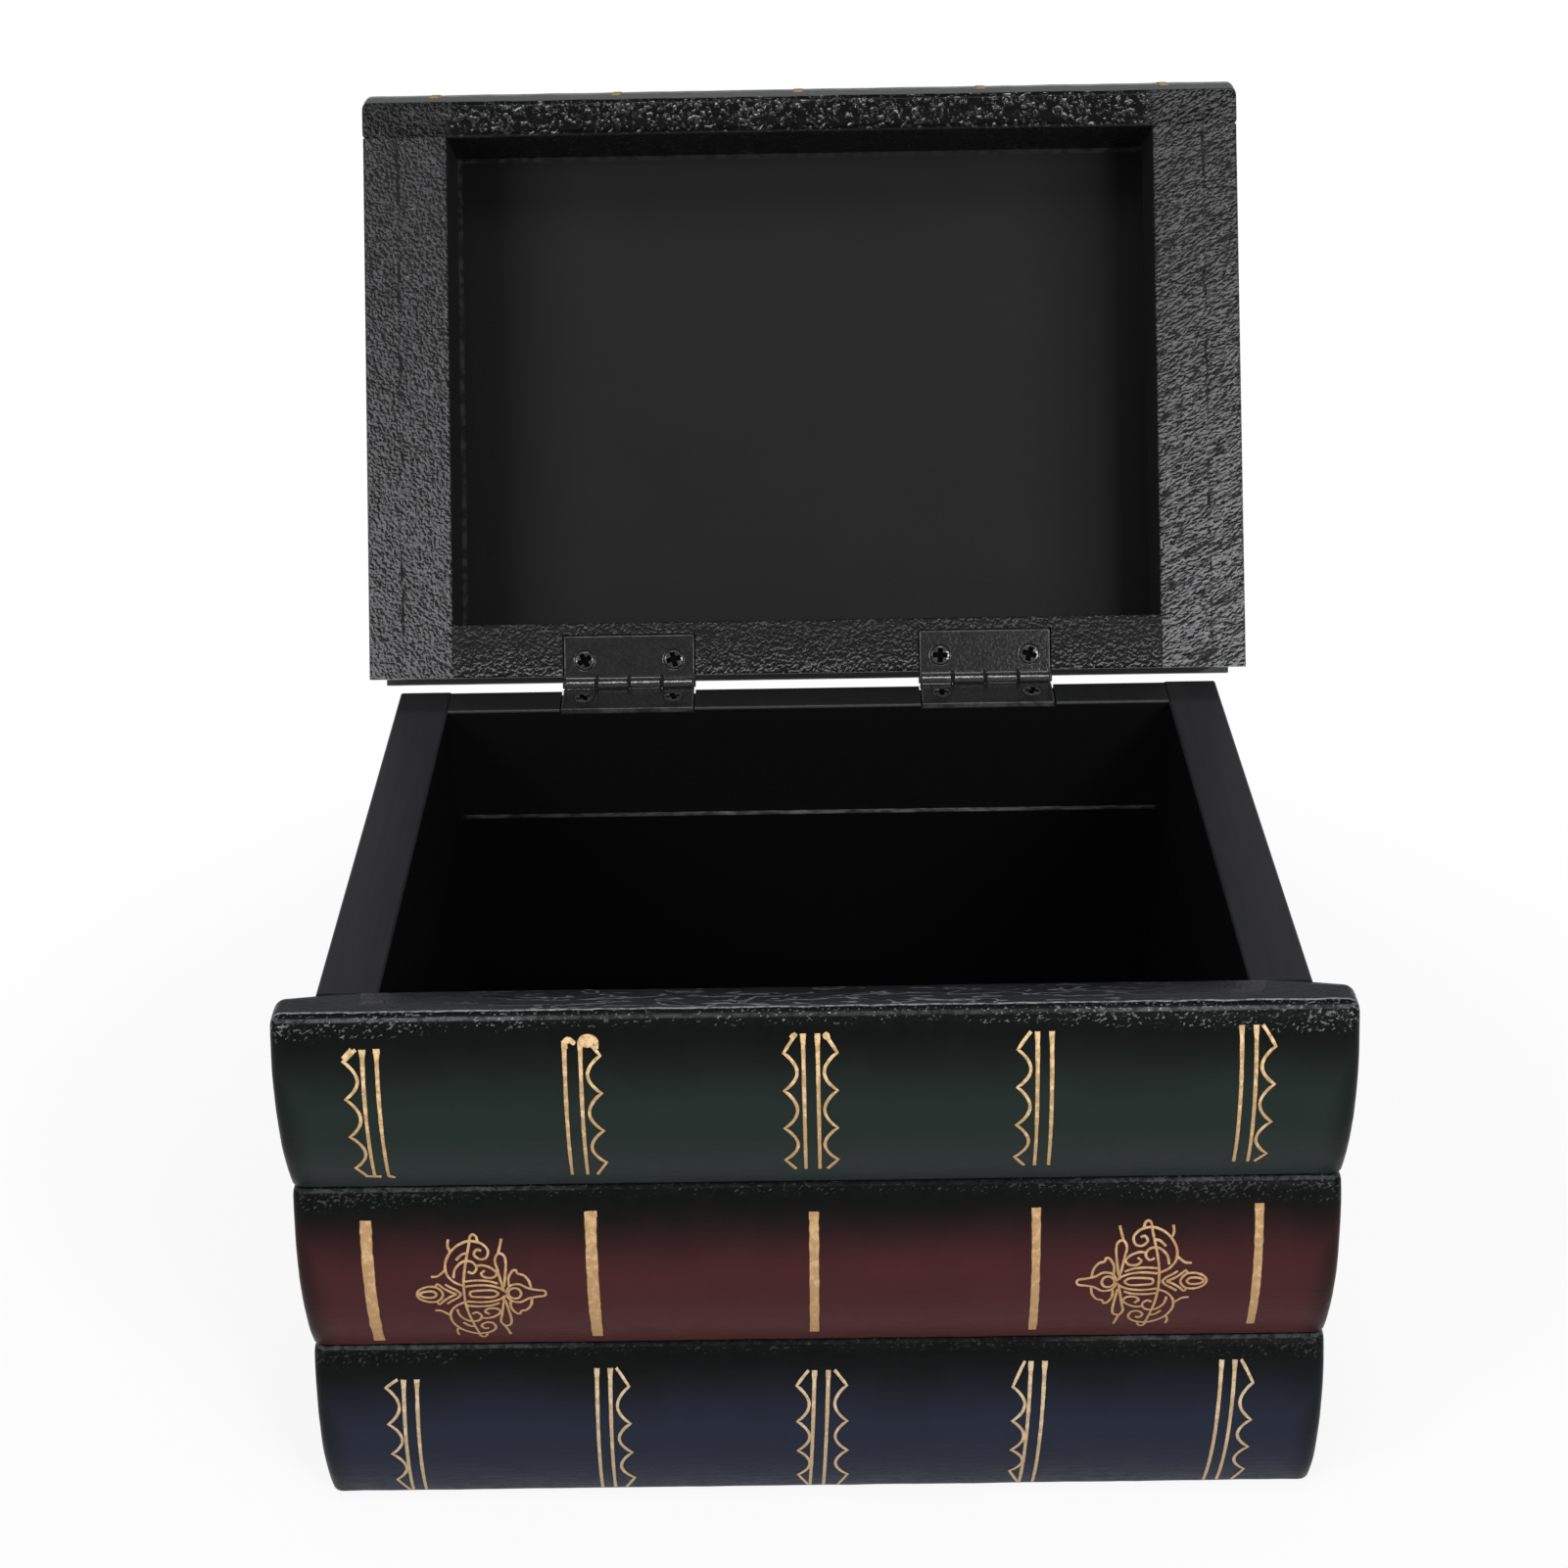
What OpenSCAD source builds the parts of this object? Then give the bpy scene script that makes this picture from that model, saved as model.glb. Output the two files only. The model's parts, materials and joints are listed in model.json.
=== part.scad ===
// Box made to look like four stacked books: a lidded storage box with rounded book spines
// across its front, a hinged top book for the lid and a lined well inside.
// X runs along the spines, -Y faces the reader of the spines, Z is up. The origin is the
// middle of the flat base. The lid is drawn open, as it stands when the box is in use.

/* [Spines] */
// Width of each spine, end to end
spine_w = 205; // [165:1:300]
// Height of the top book of the body
green_h = 40; // [30:0.5:60]
// Height of the middle book
maroon_h = 40; // [30:0.5:60]
// Height of the bottom book
navy_h = 40; // [30:0.5:60]
// Thickness of a body spine along its top and bottom edges
spine_t = 8.2; // [6:0.1:14]
// How far a body spine swells forward at its middle
spine_bulge = 5; // [1:0.1:8]
// Thickness of the lid's spine along its edges
lid_spine_t = 7.8; // [6:0.1:14]
// How far the lid's spine swells forward
lid_spine_bulge = 5.2; // [1:0.1:7]
// Radius of the spines' upright corners, seen from above
spine_corner_r = 2.5; // [0.5:0.1:3.5]

/* [Body] */
// Depth of the body, from its back to the back of its spines
body_d = 125.5; // [90:0.5:220]
// Thickness of the side boards
side_t = 12; // [8:0.5:16]
// Thickness of the back board
back_t = 9.5; // [9:0.1:14]
// Thickness of the floor board
floor_t = 6; // [3:0.5:12]

/* [Covers] */
// How far a cover stops short of each end of the spine
cover_inset = 0.1; // [0:0.1:3]
// How far the page edges lie in from the edge of a cover
cover_overhang = 7.65; // [4:0.05:10]
// Thickness of every book cover
cover_t = 3; // [2:0.1:5]
// Radius of the covers' long outer edges
cover_edge_r = 1; // [0.3:0.1:1]

/* [Lid] */
// Height of the lid's page block, under its top cover
lid_page_h = 25; // [20:0.5:40]
// Depth of the lid, from its back to the back of its spine
lid_d = 127; // [90:0.5:220]
// Width of the lid's rear rail
rail_t = 12.4; // [10:0.1:20]
// Depth of the hollow in the lid's underside
recess_d = 20; // [5:0.5:22]
// Gap left between the rim and the closed lid
closed_gap = 0.5; // [0.3:0.1:1.5]
// How far the lid stands open, from closed
open_angle = 120; // [90:1:180]

/* [Lining] */
// Thickness of the lining boards
lining_t = 1.2; // [0.6:0.1:3]
// Bare wall left above the lining
lining_drop = 27.5; // [5:0.5:60]

/* [Hinges] */
// Length of a hinge leaf along the back edge
leaf_len = 30.4; // [24:0.4:40]
// Distance of each hinge's middle from the middle of the box
hinge_x = 41.5; // [25:0.5:60]
// Reach of a leaf from the hinge axis
leaf_reach = 11.5; // [10.5:0.1:11.6]
// Thickness of a leaf
leaf_t = 1.2; // [0.8:0.1:1.2]
// Distance of the hinge axis behind the box
axis_back = 2.15; // [1.9:0.05:4]
// Outer radius of a knuckle
knuckle_r = 1.5; // [1.3:0.05:1.6]
// Radius of the hinge pin
pin_r = 0.75; // [0.5:0.05:0.8]
// Length of pin that stands out at each end of a hinge
pin_proud = 0.3; // [0.1:0.1:1]

/* [Screws] */
// Distance of each screw from the middle of its hinge
screw_x = 10.4; // [6:0.1:11]
// Distance of the screws from the hinge axis
screw_reach = 5.8; // [5.3:0.1:7]
// Radius of a screw head
head_r = 2.4; // [2:0.1:2.6]
// Radius of a screw's shank
shank_r = 1.3; // [0.9:0.1:1.5]
// Length of a screw, head and all
screw_l = 12; // [8:0.5:16]
// Width of the cross cut in a screw head
cross_w = 0.8; // [0.5:0.1:1]
// Length of each arm pair of the cross
cross_l = 2.8; // [1.5:0.1:3.4]
// Depth of the cross
cross_depth = 0.9; // [0.4:0.1:1]

/* [Hidden] */
$fn = 64;

green_paint = "#2a3330";
maroon_paint = "#44252a";
navy_paint = "#262b38";
black_paint = "#2f2f33";
page_paint = "#b9a77c";
lining_black = "#0b0b0c";
hinge_black = "#222224";

pin_clearance = 0.05;
knuckle_clearance = 0.2;
knuckle_gap = 0.15;
screw_clearance = 0.05;
mortise_clearance = 0.1;
knuckles = 4;
spine_arc_fn = 180;
over_cut = 1;
eps = 0.01;

maroon_top_z = navy_h + maroon_h;
body_h = maroon_top_z + green_h;
back_y = body_d / 2;
spine_y = -body_d / 2;
cover_w = spine_w - 2 * cover_inset;
page_w = cover_w - 2 * cover_overhang;
well_w = page_w - 2 * side_t;
well_d = body_d - back_t;
well_floor_z = cover_t + floor_t;
lining_h = body_h - lining_drop - well_floor_z - lining_t;
lid_h = lid_page_h + cover_t;
lid_z = body_h + closed_gap;
lid_front_y = back_y - lid_d;
panel_t = lid_page_h - recess_d;
axis_y = back_y + axis_back;
axis_z = body_h + closed_gap / 2;
knuckle_len = leaf_len / knuckles;
screw_y = axis_y - screw_reach;
head_h = head_r - shank_r;

// Takes what is made for the right side over to the left where side is -1
module on_side(side) {
    mirror([side < 0 ? 1 : 0, 0, 0])
        children();
}

// Turns what is drawn as a closed lid up to where it stands open
module opened() {
    translate([0, axis_y, axis_z])
        rotate([-open_angle, 0, 0])
            translate([0, -axis_y, -axis_z])
                children();
}

// A rectangle with round corners, centred in X, from y = 0 towards -Y
module rounded_rect(w, d, r) {
    translate([-w / 2 + r, -d])
        square([w - 2 * r, d]);
    translate([-w / 2, -d + r])
        square([w, d - 2 * r]);
    for (x = [-w / 2 + r, w / 2 - r], y = [-d + r, -r])
        translate([x, y])
            circle(r);
}

// The end view of a spine: flat behind, swelling in an arc in front. Drawn with Y up the page
module spine_profile(h, t, bulge) {
    arc_r = (h * h / 4 + bulge * bulge) / (2 * bulge);
    intersection() {
        square([t + bulge, h]);
        translate([t + bulge - arc_r, h / 2])
            circle(arc_r, $fn = spine_arc_fn);
    }
}

// A spine whose back lies at y = 0 and whose foot is at z = 0
module spine(h, t, bulge) {
    intersection() {
        translate([-spine_w / 2, 0, 0])
            rotate([90, 0, 90])
                mirror([1, 0, 0])
                    linear_extrude(spine_w)
                        spine_profile(h, t, bulge);
        translate([0, 0, -eps])
            linear_extrude(h + 2 * eps)
                rounded_rect(spine_w, t + bulge, spine_corner_r);
    }
}

// End view of a cover that is w wide, with its long edge at x = w eased
module cover_profile(w) {
    square([w - cover_edge_r, cover_t]);
    translate([0, cover_edge_r])
        square([w, cover_t - 2 * cover_edge_r]);
    for (z = [cover_edge_r, cover_t - cover_edge_r])
        translate([w - cover_edge_r, z])
            circle(cover_edge_r);
}

// A length of cover along Y, drawn from its back end, with its outer edge towards +X
module cover_strip(w, d) {
    rotate([90, 0, 0])
        linear_extrude(d)
            cover_profile(w);
}

// A whole cover, eased along both sides
module cover_board(w, d) {
    for (side = [0, 1])
        mirror([side, 0, 0])
            cover_strip(w / 2, d);
}

// The part of a cover that stands out of one side of the body, with its foot at z
module body_strip(side, z) {
    on_side(side)
        translate([page_w / 2, back_y, z])
            cover_strip(cover_overhang, body_d);
}

// The hole that a countersunk screw needs, mouth up at z = 0
module screw_hole() {
    r = shank_r + screw_clearance;
    translate([0, 0, -head_h])
        cylinder(h = head_h + eps, r1 = r, r2 = head_r + screw_clearance + eps);
    translate([0, 0, -screw_l - screw_clearance])
        cylinder(h = screw_l + screw_clearance, r = r);
}

// A countersunk screw with a cross cut in its head, mouth up at z = 0
module screw() {
    difference() {
        union() {
            translate([0, 0, -head_h])
                cylinder(h = head_h, r1 = shank_r, r2 = head_r);
            translate([0, 0, -screw_l])
                cylinder(h = screw_l - head_h + eps, r = shank_r);
        }
        for (turn = [0, 90])
            rotate([0, 0, turn])
                translate([-cross_l / 2, -cross_w / 2, -cross_depth])
                    cube([cross_l, cross_w, cross_depth + over_cut]);
    }
}

// Puts a copy at each of the two screws of a hinge leaf
module at_screws(centre_x) {
    for (x = [-screw_x, screw_x])
        translate([centre_x + x, screw_y, 0])
            children();
}

// A rod along X, centred on the hinge axis of the hinge at centre_x
module on_axis(centre_x, l, r) {
    translate([centre_x - l / 2, axis_y, axis_z])
        rotate([0, 90, 0])
            cylinder(h = l, r = r);
}

// One leaf with its two knuckles. up is 1 for the lid's leaf, which lies above the gap
module leaf(centre_x, up) {
    face_z = up > 0 ? lid_z : body_h;
    first = up > 0 ? 1 : 0;
    plate_y = axis_y - knuckle_r - knuckle_clearance;
    barrel_l = knuckle_len - knuckle_gap;
    difference() {
        union() {
            translate([centre_x - leaf_len / 2, axis_y - leaf_reach, face_z])
                mirror([0, 0, up > 0 ? 0 : 1])
                    cube([leaf_len, plate_y - axis_y + leaf_reach, leaf_t]);
            for (i = [first : 2 : knuckles - 1]) {
                barrel_x = centre_x - leaf_len / 2 + (i + 0.5) * knuckle_len;
                on_axis(barrel_x, barrel_l, knuckle_r);
                translate([barrel_x - barrel_l / 2, plate_y - eps, face_z])
                    mirror([0, 0, up > 0 ? 0 : 1])
                        cube([barrel_l, axis_y - plate_y, leaf_t]);
            }
        }
        on_axis(centre_x, leaf_len + 2 * over_cut, pin_r + pin_clearance);
        translate([0, 0, face_z])
            at_screws(centre_x)
                mirror([0, 0, up > 0 ? 1 : 0])
                    screw_hole();
    }
}

// The shallow bed that a leaf lies in, cut down from z = 0
module mortise(centre_x) {
    c = mortise_clearance;
    translate([centre_x - leaf_len / 2 - c, axis_y - leaf_reach - c, -leaf_t])
        cube([leaf_len + 2 * c, leaf_reach + c, leaf_t + eps]);
}

// All that a board loses to its two hinges, with its face at z = 0
module hinge_cuts() {
    for (x = [-hinge_x, hinge_x]) {
        mortise(x);
        at_screws(x)
            screw_hole();
    }
}

module spine_green() {
    color(green_paint)
        translate([0, spine_y, maroon_top_z])
            spine(green_h, spine_t, spine_bulge);
}

module spine_maroon() {
    color(maroon_paint)
        translate([0, spine_y, navy_h])
            spine(maroon_h, spine_t, spine_bulge);
}

module spine_navy() {
    color(navy_paint)
        translate([0, spine_y, 0])
            spine(navy_h, spine_t, spine_bulge);
}

module side_board(side) {
    color(page_paint)
        on_side(side)
            translate([page_w / 2 - side_t, spine_y, cover_t])
                cube([side_t, body_d, body_h - cover_t]);
}

module back_board() {
    color(page_paint)
        difference() {
            translate([-well_w / 2, back_y - back_t, cover_t])
                cube([well_w, back_t, body_h - cover_t]);
            translate([0, 0, body_h])
                hinge_cuts();
        }
}

module floor_board() {
    color(black_paint)
        translate([-well_w / 2, spine_y, cover_t])
            cube([well_w, well_d, floor_t]);
}

module base_cover() {
    color(navy_paint)
        translate([0, back_y, 0])
            cover_board(cover_w, body_d);
}

module green_lower_cover(side) {
    color(green_paint)
        body_strip(side, maroon_top_z);
}

module maroon_upper_cover(side) {
    color(maroon_paint)
        body_strip(side, maroon_top_z - cover_t);
}

module maroon_lower_cover(side) {
    color(maroon_paint)
        body_strip(side, navy_h);
}

module navy_upper_cover(side) {
    color(navy_paint)
        body_strip(side, navy_h - cover_t);
}

module lining_floor() {
    color(lining_black)
        translate([-well_w / 2, spine_y, well_floor_z])
            cube([well_w, well_d, lining_t]);
}

// A lining board across the well, with its outer face at y
module lining_across(y) {
    color(lining_black)
        translate([-well_w / 2, y, well_floor_z + lining_t])
            cube([well_w, lining_t, lining_h]);
}

module lining_back() {
    lining_across(back_y - back_t - lining_t);
}

module lining_front() {
    lining_across(spine_y);
}

module lining_side(side) {
    color(lining_black)
        on_side(side)
            translate([well_w / 2 - lining_t, spine_y + lining_t, well_floor_z + lining_t])
                cube([lining_t, well_d - 2 * lining_t, lining_h]);
}

module body_leaf(side) {
    color(hinge_black)
        leaf(side * hinge_x, -1);
}

module hinge_pin(side) {
    color(hinge_black)
        on_axis(side * hinge_x, leaf_len + 2 * pin_proud, pin_r);
}

module body_screws() {
    color(hinge_black)
        translate([0, 0, body_h])
            for (x = [-hinge_x, hinge_x])
                at_screws(x)
                    screw();
}

module lid_spine() {
    color(green_paint)
        opened()
            translate([0, lid_front_y, lid_z])
                spine(lid_h, lid_spine_t, lid_spine_bulge);
}

module lid_stile(side) {
    color(black_paint)
        opened()
            on_side(side)
                translate([page_w / 2 - side_t, lid_front_y, lid_z])
                    cube([side_t, lid_d, lid_page_h]);
}

module lid_rear_rail() {
    color(black_paint)
        opened()
            difference() {
                translate([-well_w / 2, back_y - rail_t, lid_z])
                    cube([well_w, rail_t, lid_page_h]);
                translate([0, 0, lid_z])
                    mirror([0, 0, 1])
                        hinge_cuts();
            }
}

module lid_inner_panel() {
    color(black_paint)
        opened()
            translate([-well_w / 2, lid_front_y, lid_z + recess_d])
                cube([well_w, lid_d - rail_t, panel_t]);
}

module lid_top_cover() {
    color(green_paint)
        opened()
            translate([0, back_y, lid_z + lid_page_h])
                cover_board(cover_w, lid_d);
}

module lid_lower_cover(side) {
    color(black_paint)
        opened()
            on_side(side)
                translate([page_w / 2, back_y, lid_z])
                    cover_strip(cover_overhang, lid_d);
}

module lid_leaf(side) {
    color(hinge_black)
        opened()
            leaf(side * hinge_x, 1);
}

module lid_screws() {
    color(hinge_black)
        opened()
            translate([0, 0, lid_z])
                mirror([0, 0, 1])
                    for (x = [-hinge_x, hinge_x])
                        at_screws(x)
                            screw();
}

spine_green();
spine_maroon();
spine_navy();
side_board(-1);  // left_side_board
side_board(1);  // right_side_board
back_board();
floor_board();
base_cover();
green_lower_cover(-1);  // green_lower_cover_left
green_lower_cover(1);  // green_lower_cover_right
maroon_upper_cover(-1);  // maroon_upper_cover_left
maroon_upper_cover(1);  // maroon_upper_cover_right
maroon_lower_cover(-1);  // maroon_lower_cover_left
maroon_lower_cover(1);  // maroon_lower_cover_right
navy_upper_cover(-1);  // navy_upper_cover_left
navy_upper_cover(1);  // navy_upper_cover_right
lining_floor();
lining_back();
lining_front();
lining_side(-1);  // lining_left
lining_side(1);  // lining_right
body_leaf(-1);  // body_leaf_left
body_leaf(1);  // body_leaf_right
hinge_pin(-1);  // hinge_pin_left
hinge_pin(1);  // hinge_pin_right
body_screws();
lid_spine();
lid_stile(-1);  // lid_left_stile
lid_stile(1);  // lid_right_stile
lid_rear_rail();
lid_inner_panel();
lid_top_cover();
lid_lower_cover(-1);  // lid_lower_cover_left
lid_lower_cover(1);  // lid_lower_cover_right
lid_leaf(-1);  // lid_leaf_left
lid_leaf(1);  // lid_leaf_right
lid_screws();
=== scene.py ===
# %% [markdown]
# # A book box
# The real object is a small wooden box that looks like four old books in a pile. Three books make
# the body and the fourth is the lid, which swings up on two butt hinges. The pieces at their real
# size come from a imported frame, and this file gives them their looks: rounded and painted spines,
# gilding, page edges, coarse black paint on the lid's underside, and the light to see them in.
# Everything is in metres, and X runs along the spines, -Y faces the reader and Z is up.

# %% Load the frame
import json
import math
from contextlib import contextmanager

import bmesh
import bpy
from mathutils import Matrix, Vector, noise
from mathutils.bvhtree import BVHTree

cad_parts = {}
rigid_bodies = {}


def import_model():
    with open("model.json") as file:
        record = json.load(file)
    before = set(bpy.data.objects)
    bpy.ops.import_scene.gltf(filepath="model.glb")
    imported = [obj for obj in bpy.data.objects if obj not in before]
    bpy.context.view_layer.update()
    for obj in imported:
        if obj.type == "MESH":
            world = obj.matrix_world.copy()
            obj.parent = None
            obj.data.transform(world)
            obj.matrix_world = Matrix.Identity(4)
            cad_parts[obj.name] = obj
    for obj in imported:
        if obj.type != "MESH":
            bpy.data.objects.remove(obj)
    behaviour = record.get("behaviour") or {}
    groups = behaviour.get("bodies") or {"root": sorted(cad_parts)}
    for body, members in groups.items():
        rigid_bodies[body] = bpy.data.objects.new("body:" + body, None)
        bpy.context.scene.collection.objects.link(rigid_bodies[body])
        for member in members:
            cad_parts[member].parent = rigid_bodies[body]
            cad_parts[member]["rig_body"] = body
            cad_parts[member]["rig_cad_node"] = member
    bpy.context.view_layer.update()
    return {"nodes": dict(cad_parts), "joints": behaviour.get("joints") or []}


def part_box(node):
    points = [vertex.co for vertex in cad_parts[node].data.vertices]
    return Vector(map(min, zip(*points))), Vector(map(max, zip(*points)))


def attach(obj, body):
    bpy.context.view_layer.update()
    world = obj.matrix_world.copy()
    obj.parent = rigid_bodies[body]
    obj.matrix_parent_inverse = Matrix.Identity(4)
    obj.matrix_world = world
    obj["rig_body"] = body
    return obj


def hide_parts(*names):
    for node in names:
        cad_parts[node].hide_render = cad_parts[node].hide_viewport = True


MM = 0.001
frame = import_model()

# %% [markdown]
# ## The camera
# The photographer stood half a metre in front of the box and looked down on it by about 29
# degrees. A camera could be aimed with a Track To constraint, but the real one is also turned by
# about a degree, so its three turns are written out and multiplied in the order in which a tripod
# head makes them: pan about Z, tilt about X, and roll about the line of sight.

# %% Camera
PHOTO_SIDE = 1601
FOCAL_LENGTH = 2624
PRINCIPAL_POINT = (794, 801)
CAMERA_PLACE = Vector((-1.5, -470.5, 391.0)) * MM
PAN, TILT_DOWN, ROLL = math.radians(0.63), math.radians(29.1), math.radians(-1.17)

camera_data = bpy.data.cameras.new("camera")
camera_data.sensor_width = 36
camera_data.lens = camera_data.sensor_width * FOCAL_LENGTH / PHOTO_SIDE
camera_data.shift_x = 0.5 - PRINCIPAL_POINT[0] / PHOTO_SIDE
camera_data.shift_y = PRINCIPAL_POINT[1] / PHOTO_SIDE - 0.5
camera = bpy.data.objects.new("camera", camera_data)
bpy.context.scene.collection.objects.link(camera)
camera.matrix_world = (
    Matrix.Translation(CAMERA_PLACE)
    @ Matrix.Rotation(PAN, 4, "Z")
    @ Matrix.Rotation(math.pi / 2 - TILT_DOWN, 4, "X")
    @ Matrix.Rotation(ROLL, 4, "Z")
)
bpy.context.scene.camera = camera
bpy.context.scene.view_settings.view_transform = "Standard"
print("lens", round(camera_data.lens, 1), "mm")

# %% [markdown]
# ## Working with nodes
# A finish is a small net of nodes. Made by hand in the editor, each node is added, set and wired;
# made in code, the same three moves repeat so often that a few helpers pay for themselves. An
# output is held as a Wire, so that a sum of two outputs, or of an output and a number, is written
# with a plain sign and becomes a Math node. Sizes are given as the real size of a speck or ripple,
# since a noise texture's scale is one over that.

# %% Node helpers
def sum_node(operation, swapped=False):
    """A function that does one sum with wires and numbers, as a node of its own."""

    def reckon(a, b=0.0):
        return add_node("Math", {0: b, 1: a} if swapped else {0: a, 1: b}, operation=operation)

    return reckon


def axis_node(axis):
    """A property that splits off one of the three numbers of a place."""
    return property(lambda place: add_node("SeparateXYZ", {0: place}, output=axis))


class Wire:
    """One output of a node, with which sums are written as they are with numbers."""

    __add__, __mul__, __truediv__ = sum_node("ADD"), sum_node("MULTIPLY"), sum_node("DIVIDE")
    __sub__, __rsub__ = sum_node("SUBTRACT"), sum_node("SUBTRACT", swapped=True)
    __gt__, __lt__ = sum_node("GREATER_THAN"), sum_node("LESS_THAN")
    __abs__, __pow__ = sum_node("ABSOLUTE"), sum_node("POWER")
    x, y, z = axis_node("X"), axis_node("Y"), axis_node("Z")

    def __init__(self, socket):
        self.socket, self.tree = socket, socket.id_data


larger, smaller, fraction = sum_node("MAXIMUM"), sum_node("MINIMUM"), sum_node("FRACT")


def add_node(kind, inputs, output=0, tree=None, **settings):
    """Adds a node, fills its inputs with values or wires, and returns one of its outputs.

    It goes into the tree that its wires come from, so only one without wires is told its tree."""
    tree = tree or next(value.tree for value in inputs.values() if isinstance(value, Wire))
    made = tree.nodes.new("ShaderNode" + kind)
    for key, value in settings.items():
        setattr(made, key, value)
    for key, value in inputs.items():
        if isinstance(value, Wire):
            tree.links.new(value.socket, made.inputs[key])
        else:
            made.inputs[key].default_value = value
    return Wire(made.outputs[output])


def fade(value, start, end, low=0.0, high=1.0):
    """A soft step from low to high while the value goes from start to end."""
    inputs = {"Value": value, "From Min": start, "From Max": end, "To Min": low, "To Max": high}
    return add_node("MapRange", inputs, interpolation_type="SMOOTHSTEP")


def mix(share, a, b):
    """The number a, or the number b where the share is 1."""
    return add_node("Mix", {0: share, 2: a, 3: b})


def blend(share, a, b):
    """The colour a, or the colour b where the share is 1. Each is a wire or three numbers."""
    a, b = [colour if isinstance(colour, Wire) else (*colour, 1) for colour in (a, b)]
    return add_node("Mix", {0: share, 6: a, 7: b}, output=2, data_type="RGBA")


def grain(place, size, detail=2.0, distortion=0.0):
    """Cloudy noise whose lumps are about as large as size."""
    inputs = {"Vector": place, "Scale": 1 / size, "Detail": detail, "Distortion": distortion}
    return add_node("TexNoise", inputs)


def mottle(place, size, low=0.0, high=1.0, detail=2.0, cut=(0.3, 0.7)):
    """Soft spots about as large as size, between which a number goes from low to high."""
    return fade(grain(place, size, detail), *cut, low, high)


def stretched(place, stretch, turns=(0, 0, 0)):
    """The same place, turned and then scaled, so that a grain gets a direction."""
    turned = add_node("Mapping", {"Vector": place, "Rotation": turns})
    return add_node("Mapping", {"Vector": turned, "Scale": stretch})


def relief(height, depth, below=None):
    """A bump that is depth metres deep, on top of another bump if there is one."""
    inputs = {"Height": height, "Distance": depth, "Strength": 1.0}
    if below:
        inputs["Normal"] = below
    return add_node("Bump", inputs)


def coat_shader(colour, roughness, normal, specular, metallic=0.0, lacquer=None):
    """Wires a finish to its shader, with a clear lacquer where one lies."""
    shader = colour.tree.nodes["Principled BSDF"]
    wires = {"Base Color": colour, "Roughness": roughness, "Normal": normal}
    if lacquer:
        wires.update({"Coat Weight": lacquer, "Coat Normal": normal})
        shader.inputs["Coat Roughness"].default_value = 0.14
    for socket, wire in wires.items():
        colour.tree.links.new(wire.socket, shader.inputs[socket])
    shader.inputs["Specular IOR Level"].default_value = specular
    shader.inputs["Metallic"].default_value = metallic


def object_place(tree):
    """Where a point is on the box, in metres."""
    return add_node("TexCoord", {}, "Object", tree)


def new_finish(name, place_of=object_place):
    """A fresh material, and the wire that tells where its points lie."""
    finish = bpy.data.materials.new(name)
    finish.use_nodes = True
    return finish, place_of(finish.node_tree)


print("node helpers ready")

# %% [markdown]
# ## The studio
# Dark glossy things show what stands around them more than their own colour. The floor is a wide
# pale sheet, which the rounded spines mirror in their lower half. It glows a little towards the
# camera, more so far away from the box, so that it stays white to the picture's edge and keeps the
# soft shadow near the box. The sky is white at the horizon and falls to grey overhead, so that
# coarse black paint finds something dark to mirror between the lamps.

# %% Floor and sky
FLOOR_SIDE = 8.0
SHADOW_REACH, WHITE_FROM = 0.12, 0.32
HORIZON_WHITE, OVERHEAD_GREY = (1.0, 1.0, 1.0), (0.22, 0.22, 0.225)
bpy.ops.mesh.primitive_plane_add(size=FLOOR_SIDE)
floor = bpy.context.object
floor.name = "floor"
floor_paint, floor_place = new_finish("floor_paint")
net = floor_paint.node_tree
floor_shader = net.nodes["Principled BSDF"]
floor_shader.inputs["Base Color"].default_value = (0.85, 0.85, 0.85, 1)
floor_shader.inputs["Roughness"].default_value = 0.9
floor_shader.inputs["Specular IOR Level"].default_value = 0.0
way_off = add_node("VectorMath", {0: floor_place}, "Value", operation="LENGTH")
rays = net.nodes.new("ShaderNodeLightPath").outputs
seen = [Wire(rays[f"Is {kind} Ray"]) for kind in ("Camera", "Glossy", "Transmission")]
share = fade(way_off, SHADOW_REACH, WHITE_FROM, low=0.86) * larger(larger(*seen[:2]), seen[2])
glow = add_node("Emission", {"Color": (1, 1, 1, 1), "Strength": 1.0}, tree=net)
mixed = add_node("MixShader", {0: share, 1: Wire(floor_shader.outputs[0]), 2: glow})
net.links.new(mixed.socket, net.nodes["Material Output"].inputs["Surface"])
floor.data.materials.append(floor_paint)

world = bpy.data.worlds.new("studio")
bpy.context.scene.world = world
world.use_nodes = True
sky = world.node_tree
sky_share = fade(add_node("TexCoord", {}, "Generated", sky).z, 0.0, 0.16)
sky_colour = blend(sky_share, HORIZON_WHITE, OVERHEAD_GREY)
sky.links.new(sky_colour.socket, sky.nodes["Background"].inputs["Color"])
print("floor and sky ready")

# %% [markdown]
# Two soft lamps stand left and right in front, and one hangs overhead. They are rather small, so
# that every pimple of the thick paint catches one as a bright speck. An area lamp could be turned
# by hand until it points at the box, but giving each a compass direction and a height in degrees
# makes it easy to move one and see what its reflection does.

# %% Lamps
AIM = Vector((0, 0, 0.12))


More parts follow.
